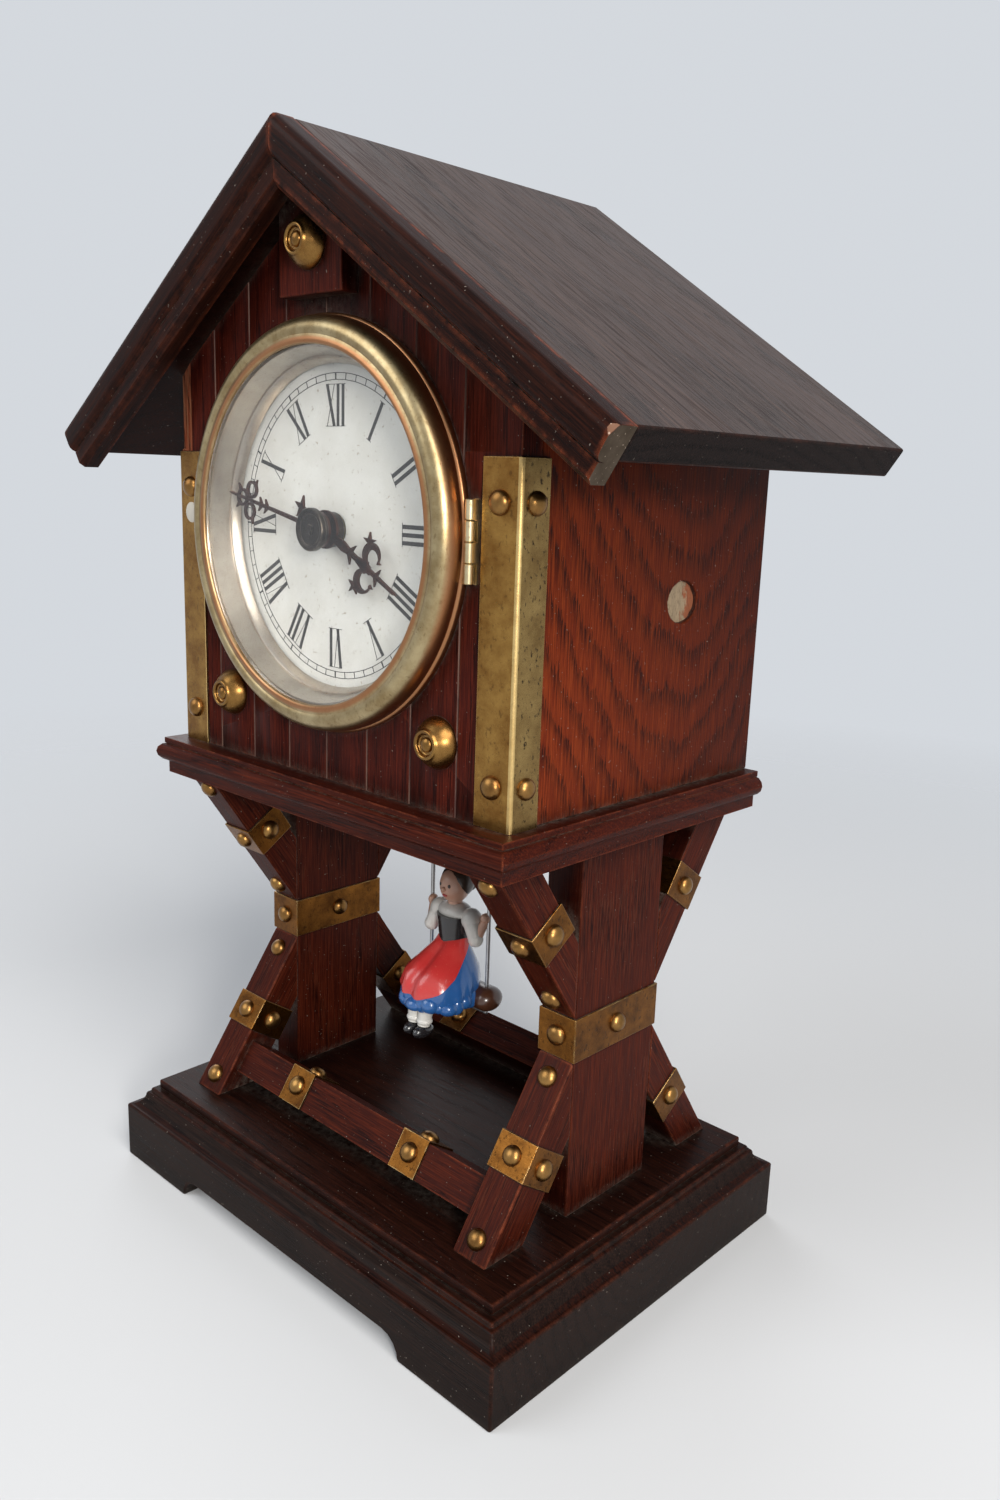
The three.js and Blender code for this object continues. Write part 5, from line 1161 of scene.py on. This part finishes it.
def hub_disc(radius):
    return bow(0, 0, radius, radius, 0, 342, 19)


print("points in a crescent:", len(crescent(0, 0, 3.5, 2.0, 40, 90)))

# %% [markdown]
# A sheet is turned to its hour before it gets its thickness. Loops are rings of a square section.
# What is turned with the hand, the collet or the hub, is spun into the same piece afterwards and
# takes a second finish.

# %% Sheets and turned centres
SHEET = 0.8


def hand_sheet(angle, back, shapes, loops=()):
    bm = bmesh.new()
    turned = Matrix.Rotation(math.radians(angle), 4, "Y")
    place = Matrix.Translation((0, back - SHEET * MM, dial_z)) @ turned
    for shape in shapes:
        plate(bm, shape, place, SHEET)
    ease(bm, 0.1, 1)
    for x, z, radius, width in loops:
        inner, outer = radius - width / 2, radius + width / 2
        band = [(inner, 0), (outer, 0), (outer, SHEET), (inner, SHEET)]
        spin_into(bm, band, place @ Vector((x * MM, 0, z * MM)), (0, 1, 0), 24, closed=True)
    return bm, set(bm.faces)


def finish_hand(name, bm, sheet_faces, body):
    for face in set(bm.faces) - sheet_faces:
        face.material_index = 1
    finish = (hand_steel, hub_steel)
    new_piece(name, bm, finish, body, (body,), 30)


print("hands are cut from sheet of", SHEET, "mm")

# %% [markdown]
# The hour hand points almost to four. Behind it a dark collet hides the pipe that carries it.

# %% The hour hand
HOUR_ANGLE = 118.0
both = (-1, 1)
shapes = [hub_disc(5.4), taper(4.5, 9.0, 2.2, 3.0), taper(8.9, 13.0, 3.0, 1.5)]
shapes += [taper(12.9, 33.0, 1.7, 1.0), thorn(0, 32.6, 1.4, 1.0, 90), taper(15.5, 20.2, 1.7, 3.8)]
shapes += [crescent(side * 4.1, 20.3, 3.5, 2.0, 40, 90 + side * 32) for side in both]
for side in both:
    shapes += fleur(side * 7.0, 17.9, 2.7, 1.6, 90 - side * 112)
    shapes += [thorn(0, 12.0, 3.5, 1.9, 90 - side * 62), thorn(0, 24.4, 3.0, 1.6, 90 - side * 70)]
    shapes += [thorn(side * 3.6, 23.4, 1.6, 1.1, 90 - side * 10)]
shapes += [taper(-12.6, -4.5, 1.4, 1.8), thorn(0, -8.6, 2.0, 1.4, 0), thorn(0, -8.6, 2.0, 1.4, 180)]
shapes += fleur(0, -12.0, 3.6, 2.3, 270)
hour_back = span("hour_hand")[1].y
bm, sheet_faces = hand_sheet(HOUR_ANGLE, hour_back, shapes)
collet_end = (dial_face.y - hour_back) / MM - 0.6
collet = [(0, -0.2), (4.6, -0.2), (4.9, 0.1)]
collet += [(4.9, collet_end - 0.2), (4.6, collet_end), (0, collet_end)]
spin_into(bm, collet, Vector((0, hour_back, dial_z)), (0, 1, 0), 40)
finish_hand("hour_hand_sheet", bm, sheet_faces, "hour_hand")
print("shapes in the hour hand:", len(shapes))

# %% [markdown]
# The minute hand has three loops near its tip and points past nine. Its hub is a turned cup with a
# rim, and the flat end of the arbor stands in it.

# %% The minute hand
MINUTE_ANGLE = 282.0
shapes = [hub_disc(5.0), taper(4.0, 42.6, 1.4, 0.8), thorn(0, 42.2, 1.7, 0.8, 90)]
for z in (24.6, 27.4):
    shapes += [thorn(0, z, 2.5, 1.3, 90 - side * 62) for side in both]
shapes += [thorn(side * 4.6, 31.4, 2.2, 1.3, 90 - side * 110) for side in both]
shapes += [thorn(side * 2.2, 38.4, 2.0, 1.2, 90 - side * 50) for side in both]
loops = [(0, 37.0, 2.2, 0.8)] + [(side * 3.2, 32.8, 2.2, 0.8) for side in both]
hub_y = span("minute_hand")[0].y
bm, sheet_faces = hand_sheet(MINUTE_ANGLE, hub_y + 4.0 * MM, shapes, loops)
hub_profile = [
    (0, 0), (5.0, 0), (5.0, 1.2), (5.3, 1.35), (5.8, 1.4), (6.0, 1.6), (6.0, 2.9), (5.8, 3.15),
    (5.3, 3.2), (4.7, 3.0), (4.3, 2.7), (0, 2.6),
]
spin_into(bm, hub_profile, Vector((0, hub_y + 3.2 * MM, dial_z)), TOWARDS, 40)
arbor_turn = Matrix.Rotation(math.radians(20), 4, "Y")
cube(bm, Matrix.Translation((0, hub_y + 0.5 * MM, dial_z)) @ arbor_turn, (1.6, 0.6, 2.6))
finish_hand("minute_hand_sheet", bm, sheet_faces, "minute_hand")
print("hand angles:", HOUR_ANGLE, MINUTE_ANGLE)

# %% [markdown]
# ## The swing
# The pendulum is a figure on a swing. It sits on a brown bolster that the wires pass round, and
# moves to and fro under the case. The seat is a capsule, a rod with round ends, pressed a little
# flat: it is spun round and then widened.

# %% The swing seat
seat_low, seat_high = span("swing_seat")
seat_centre = (seat_low + seat_high) / 2
seat_size = (seat_high - seat_low) / MM
leather = paint("Bolster brown", (0.060, 0.022, 0.012), (0.16, 0.065, 0.03), 0.3, 0.4, 0.5)
end_radius = seat_size.z / 2
rod = seat_size.x / 2 - end_radius
end_angles = [math.radians(10 * i) for i in range(10)]
capsule = [(end_radius * math.sin(t), rod + end_radius * math.cos(t)) for t in end_angles]
capsule += [(r, -a) for r, a in reversed(capsule)]
bm = bmesh.new()
spin_into(bm, capsule, seat_centre, (1, 0, 0), 28)
widened = about(seat_centre, Matrix.Diagonal((1, seat_size.y / seat_size.z, 1, 1)))
bmesh.ops.transform(bm, matrix=widened, verts=bm.verts)
new_piece("seat_bolster", bm, leather, "swing", ("swing_seat",), 50)
print("bolster:", [round(v, 1) for v in seat_size])

# %% [markdown]
# ## The figure
# A small doll in country dress, of painted composition: blue skirt, red apron, black bodice, white
# blouse, white stockings and black shoes. Each garment is its own piece, swollen balls and tapered
# limbs as a modeller would press them, so that every colour has a clean edge.

# %% The figure's paints and helpers
cloth_blue = paint("Skirt blue", (0.022, 0.105, 0.33), (0.06, 0.19, 0.42), 0.22, 0.4, 0.5)
cloth_red = paint("Apron red", (0.60, 0.030, 0.030), (0.70, 0.16, 0.12), 0.26, 0.5, 0.4)
cloth_white = paint("Blouse white", (0.68, 0.66, 0.62), (0.42, 0.38, 0.32), 0.4, 0.5, 0.3)
cloth_black = paint("Bodice black", (0.010, 0.010, 0.012), (0.06, 0.05, 0.05), 0.22, 0.3, 0.5)
skin = paint("Skin", (0.58, 0.33, 0.23), (0.50, 0.22, 0.15), 0.36, 0.2, 0.3)
hair = paint("Hair", (0.022, 0.011, 0.007), (0.07, 0.04, 0.02), 0.35, 0.4, 0.3)
lip_red = paint("Lip red", (0.42, 0.03, 0.03), (0.5, 0.1, 0.08), 0.3, 0.0, 0.3)
sit = Vector((0, seat_centre.y / MM, seat_high.z / MM))


def at(x, y, z):
    return sit + Vector((x, y, z))


def limb(bm, start, end, thick, thin, sides=14):
    along = end - start
    aimed = Vector((0, 0, 1)).rotation_difference(along).to_matrix().to_4x4()
    bmesh.ops.create_cone(
        bm, cap_ends=True, segments=sides, radius1=thick * MM, radius2=thin * MM,
        depth=along.length * MM, matrix=Matrix.Translation((start + end) / 2 * MM) @ aimed,
    )


def dress(name, bm, finish, nodes=()):
    new_piece(name, bm, finish, "swing", nodes, 60)


print("the figure sits at", [round(v, 1) for v in sit])

# %% [markdown]
# The skirt is a stack of ovals joined by bridges, like hoops under cloth. Its points are then moved
# to make ripples towards the hem and a soft fold between the knees. The hem is a ring of swollen
# balls that run into one another, and the apron is a larger skirt with all but its front cut away.

# %% Skirt and apron
HEM = 24
SKIRT = (
    (-6.0, -8.0, 11.8, 12.9), (-3.0, -8.2, 12.7, 13.9), (1.0, -8.2, 12.7, 14.0), (5.0, -7.6, 11.4, 13.2),
    (9.0, -5.6, 8.6, 9.6), (13.0, -3.4, 6.0, 5.6), (15.5, -2.4, 5.2, 4.2),
)


def share_of(value):
    return min(1.0, max(0.0, value))


def draped(bm, hoops, grow):
    loops = []
    for z, y, rx, ry in hoops:
        scale = Matrix.Diagonal(((rx + grow) * MM, (ry + grow) * MM, 1, 1))
        place = Matrix.Translation(at(0, y, z) * MM) @ scale
        made = bmesh.ops.create_circle(bm, segments=96, radius=1, matrix=place)["verts"]
        loops.append({e for v in made for e in v.link_edges})
    for low, high in zip(loops, loops[1:]):
        bmesh.ops.bridge_loops(bm, edges=list(low | high))
    bmesh.ops.holes_fill(bm, edges=[e for e in bm.edges if e.is_boundary])
    for vert in bm.verts:
        around = math.atan2(vert.co.y / MM - sit.y + 8, vert.co.x / MM)
        low = share_of((sit.z + 8 - vert.co.z / MM) / 12)
        ripple = 0.32 * low * math.sin(13 * around + 1.7 * math.sin(3 * around))
        vert.co += Vector((math.cos(around), math.sin(around), 0)) * ripple * MM
        fold = math.exp(-((vert.co.x / MM + 0.5) / 2.4) ** 2)
        front = share_of((sit.y - 5 - vert.co.y / MM) / 8)
        vert.co += Vector((0, 1.0, -1.6)) * MM * fold * front


bm = bmesh.new()
draped(bm, SKIRT, 0)
dress("skirt", bm, cloth_blue, ("swing_figure",))
bm = bmesh.new()
for index in range(HEM):
    angle = 2 * math.pi * index / HEM
    swell = 3.1 + 0.5 * math.sin(2.9 * index)
    dip = -4.3 + 0.7 * math.sin(5 * angle + 1)
    spot = at(10.6 * math.cos(angle), -8.0 + 11.7 * math.sin(angle), dip)
    ball(bm, spot, (swell, swell, 2.9 + 0.6 * math.sin(1.7 * index)), across=18, up=12)
dress("skirt_hem", bm, cloth_blue)
bm = bmesh.new()
draped(bm, SKIRT[1:], 0.35)
cut(bm, at(0, -21, -1), (0, 0.58, -0.81))
cut(bm, at(11.4, 0, 0), (1, 0, 0.1))
cut(bm, at(-11.4, 0, 0), (-1, 0, 0.1))
dress("apron", bm, cloth_red)
print("swells in the hem:", HEM)

# %% [markdown]
# The body is a tapered bodice under a blouse with full sleeves. The forearms reach up to the wires,
# and each hand closes round one. The legs hang over the front of the seat.

# %% Body, arms and legs
bm = bmesh.new()
limb(bm, at(0, -2.2, 13), at(0, -2.2, 23), 5.2, 6.4, 24)
dress("bodice", bm, cloth_black)
bm = bmesh.new()
ball(bm, at(0, -2.2, 23.6), (6.9, 4.9, 3.6), across=24, up=14)
for side in both:
    ball(bm, at(side * 7.4, -2.0, 22.6), (3.7, 3.6, 3.9), across=18, up=12)
    limb(bm, at(side * 8.0, -2.2, 21.6), at(side * 10.6, -3.0, 16.6), 3.2, 2.5)
    ball(bm, at(side * 10.6, -3.0, 16.6), (2.6, 2.6, 2.6))
dress("blouse", bm, cloth_white)

bm = bmesh.new()
grip_x = span("swing_wires")[1].x / MM - 1.7
for side in both:
    limb(bm, at(side * 10.6, -3.0, 16.4), at(side * grip_x, -0.4, 23.6), 1.9, 1.4)
    ball(bm, at(side * grip_x, -0.6, 24.0), (1.7, 1.9, 1.9))
limb(bm, at(0, -2.2, 24), at(0, -2.6, 29), 2.6, 2.4)
ball(bm, at(0, -2.7, 33.2), (5.2, 5.4, 6.3), across=24, up=16)
ball(bm, at(0, -8.1, 32.6), (0.8, 0.8, 0.9))
dress("face_and_hands", bm, skin)

bm = bmesh.new()
for side in both:
    limb(bm, at(side * 2.5, -17.0, -3.0), at(side * 2.3, -18.2, -12.2), 3.1, 2.1)
    ball(bm, at(side * 2.4, -17.9, -10.6), (2.75, 2.75, 1.5), across=14, up=8)
dress("stockings", bm, cloth_white)
bm = bmesh.new()
for side in both:
    ball(bm, at(side * 2.3, -18.4, -14.2), (2.2, 4.4, 2.3))
dress("shoes", bm, cloth_black)
print("hands grip the wires at", round(grip_x, 1))

# %% [markdown]
# The face is a plain doll's: two eyes, a button nose and a small mouth. The hair is a cap that sits
# a little behind the head, with a knot at the back.

# %% Hair, eyes and mouth
bm = bmesh.new()
ball(bm, at(0, -1.4, 34.4), (5.9, 5.7, 6.0), across=24, up=16)
ball(bm, at(0, 3.6, 33.0), (3.6, 2.6, 3.6))
for side in both:
    ball(bm, at(side * 1.9, -7.4, 33.9), (0.65, 0.5, 0.7), across=10, up=8)
dress("hair_and_eyes", bm, hair)
bm = bmesh.new()
ball(bm, at(0, -7.5, 30.4), (1.2, 0.6, 0.45), across=10, up=8)
dress("mouth", bm, lip_red)
print("figure pieces: 10")

# %% [markdown]
# ## What the frame still shows
# The wheels, plates and wires are seen only through openings or when a door is open, so the
# frame's own solids are enough. They only need their finishes.

# %% Finishes for the frame's own nodes
finishes = {
    "stained_oak": front_oak, "dark_oak": base_oak, "aged_brass": aged_brass, "plain_brass": clean_brass,
    "silvered": silver, "glass": glass, "white_dial": dial_white, "blackened_steel": hand_steel,
    "steel": steel, "painted_figure": cloth_red,
}
for part in frame["record"]["subparts"]:
    mesh = frame["nodes"][part["node"]].data
    mesh.materials.clear()
    mesh.materials.append(finishes[part["material_slot"]])

# %% [markdown]
# ## Stage and light
# The clock stands on a pale floor that fades out with distance into a plain pale background, so no
# line crosses the picture. A large round lamp at the upper right lights the side panel more than
# the front, a cooler one fills the front, a small low one at the right makes glints on the brass,
# and one behind lights the back.

# %% Stage and lamps
TARGET = Vector((0, 0, 0.17))
WARM = (1.0, 0.97, 0.92)
LAMPS = (
    ("Key", 66, 44, 2.0, 1.24, 30.0, WARM),
    ("Fill", -30, 36, 2.2, 1.58, 18.0, (0.95, 0.98, 1.0)),
    ("Front", 58, 14, 1.2, 0.226, 8.0, WARM),
    ("Back", 242, 22, 2.2, 1.58, 13.0, (0.97, 0.98, 1.0)),
)
floor_paint, tree, vector = new_finish("Floor")
from_clock = length(tree, stretch(tree, vector, (1, 1, 0)))
faded = remap(tree, from_clock, 260, 950, 1.0, 0.0)
surface(tree, Base_Color=(0.70, 0.71, 0.73, 1), Roughness=0.85, Alpha=faded)
bm = bmesh.new()
bmesh.ops.create_circle(bm, cap_ends=True, segments=96, radius=1.0)
mesh = bpy.data.meshes.new("studio_floor")
bm.to_mesh(mesh)
bm.free()
mesh.materials.append(floor_paint)
studio_floor = bpy.data.objects.new("studio_floor", mesh)
bpy.context.scene.collection.objects.link(studio_floor)


def lamp(name, azimuth, elevation, distance, size, power, colour):
    light = bpy.data.lights.new(name, "AREA")
    light.shape = "DISK"
    light.size = size
    light.energy = power
    light.color = colour
    stand = bpy.data.objects.new(name, light)
    turn, lift = math.radians(azimuth), math.radians(elevation)
    away = Vector((math.cos(lift) * math.sin(turn), -math.cos(lift) * math.cos(turn), math.sin(lift)))
    stand.location = TARGET + away * distance
    stand.rotation_euler = away.to_track_quat("Z", "Y").to_euler()
    bpy.context.scene.collection.objects.link(stand)
    return stand


[lamp(*row) for row in LAMPS]
print("lamps:", len(LAMPS))

# %% [markdown]
# The world gives a dim bluish light, as a room does. What the camera, a shiny face or the glass shows
# of it is a plain pale grey instead, so the background is bright while the light it casts is dim.

# %% World
world = bpy.data.worlds.new("Studio")
bpy.context.scene.world = world
world.use_nodes = True
tree = world.node_tree
tree.nodes.clear()
path = put(tree, "ShaderNodeLightPath").outputs
seen = calc(tree, "MAXIMUM", path["Is Camera Ray"], path["Is Transmission Ray"])
seen = calc(tree, "MAXIMUM", seen, path["Is Glossy Ray"])
room = put(tree, "ShaderNodeBackground", {"Color": (0.86, 0.92, 1.0, 1), "Strength": 0.2})
pale = put(tree, "ShaderNodeBackground", {"Color": (0.66, 0.69, 0.73, 1), "Strength": 1.0})
shown = put(tree, "ShaderNodeMixShader", {0: seen, 1: room.outputs[0], 2: pale.outputs[0]})
tree.links.new(shown.outputs[0], put(tree, "ShaderNodeOutputWorld").inputs[0])
bpy.context.scene.view_settings.view_transform = "Standard"
print("background colour:", [round(v, 2) for v in pale.inputs["Color"].default_value[:3]])

# %% [markdown]
# ## Camera
# The camera stands where the photograph was taken, close to the clock and a little above the dial.
# Its three directions were found by fitting a pinhole camera to the straight edges of the clock.

# %% Camera
RIGHT = Vector((0.72437, 0.68859, 0.03265))
UP = Vector((-0.17730, 0.14033, 0.97403))
FORWARD = Vector((-0.66617, 0.71140, -0.22376))
look = bpy.data.cameras.new("Camera")
look.lens = 28.36
camera = bpy.data.objects.new("Camera", look)
facing = Matrix((RIGHT, UP, -FORWARD)).transposed().to_quaternion()
camera.matrix_world = Matrix.LocRotScale(Vector((0.2674, -0.2615, 0.2436)), facing, None)
bpy.context.scene.collection.objects.link(camera)
bpy.context.scene.camera = camera
print("camera at", [round(v, 3) for v in camera.location])

# %% [markdown]
# ## Last update
# The view layer is brought up to date.

# %% Last update
bpy.context.view_layer.update()
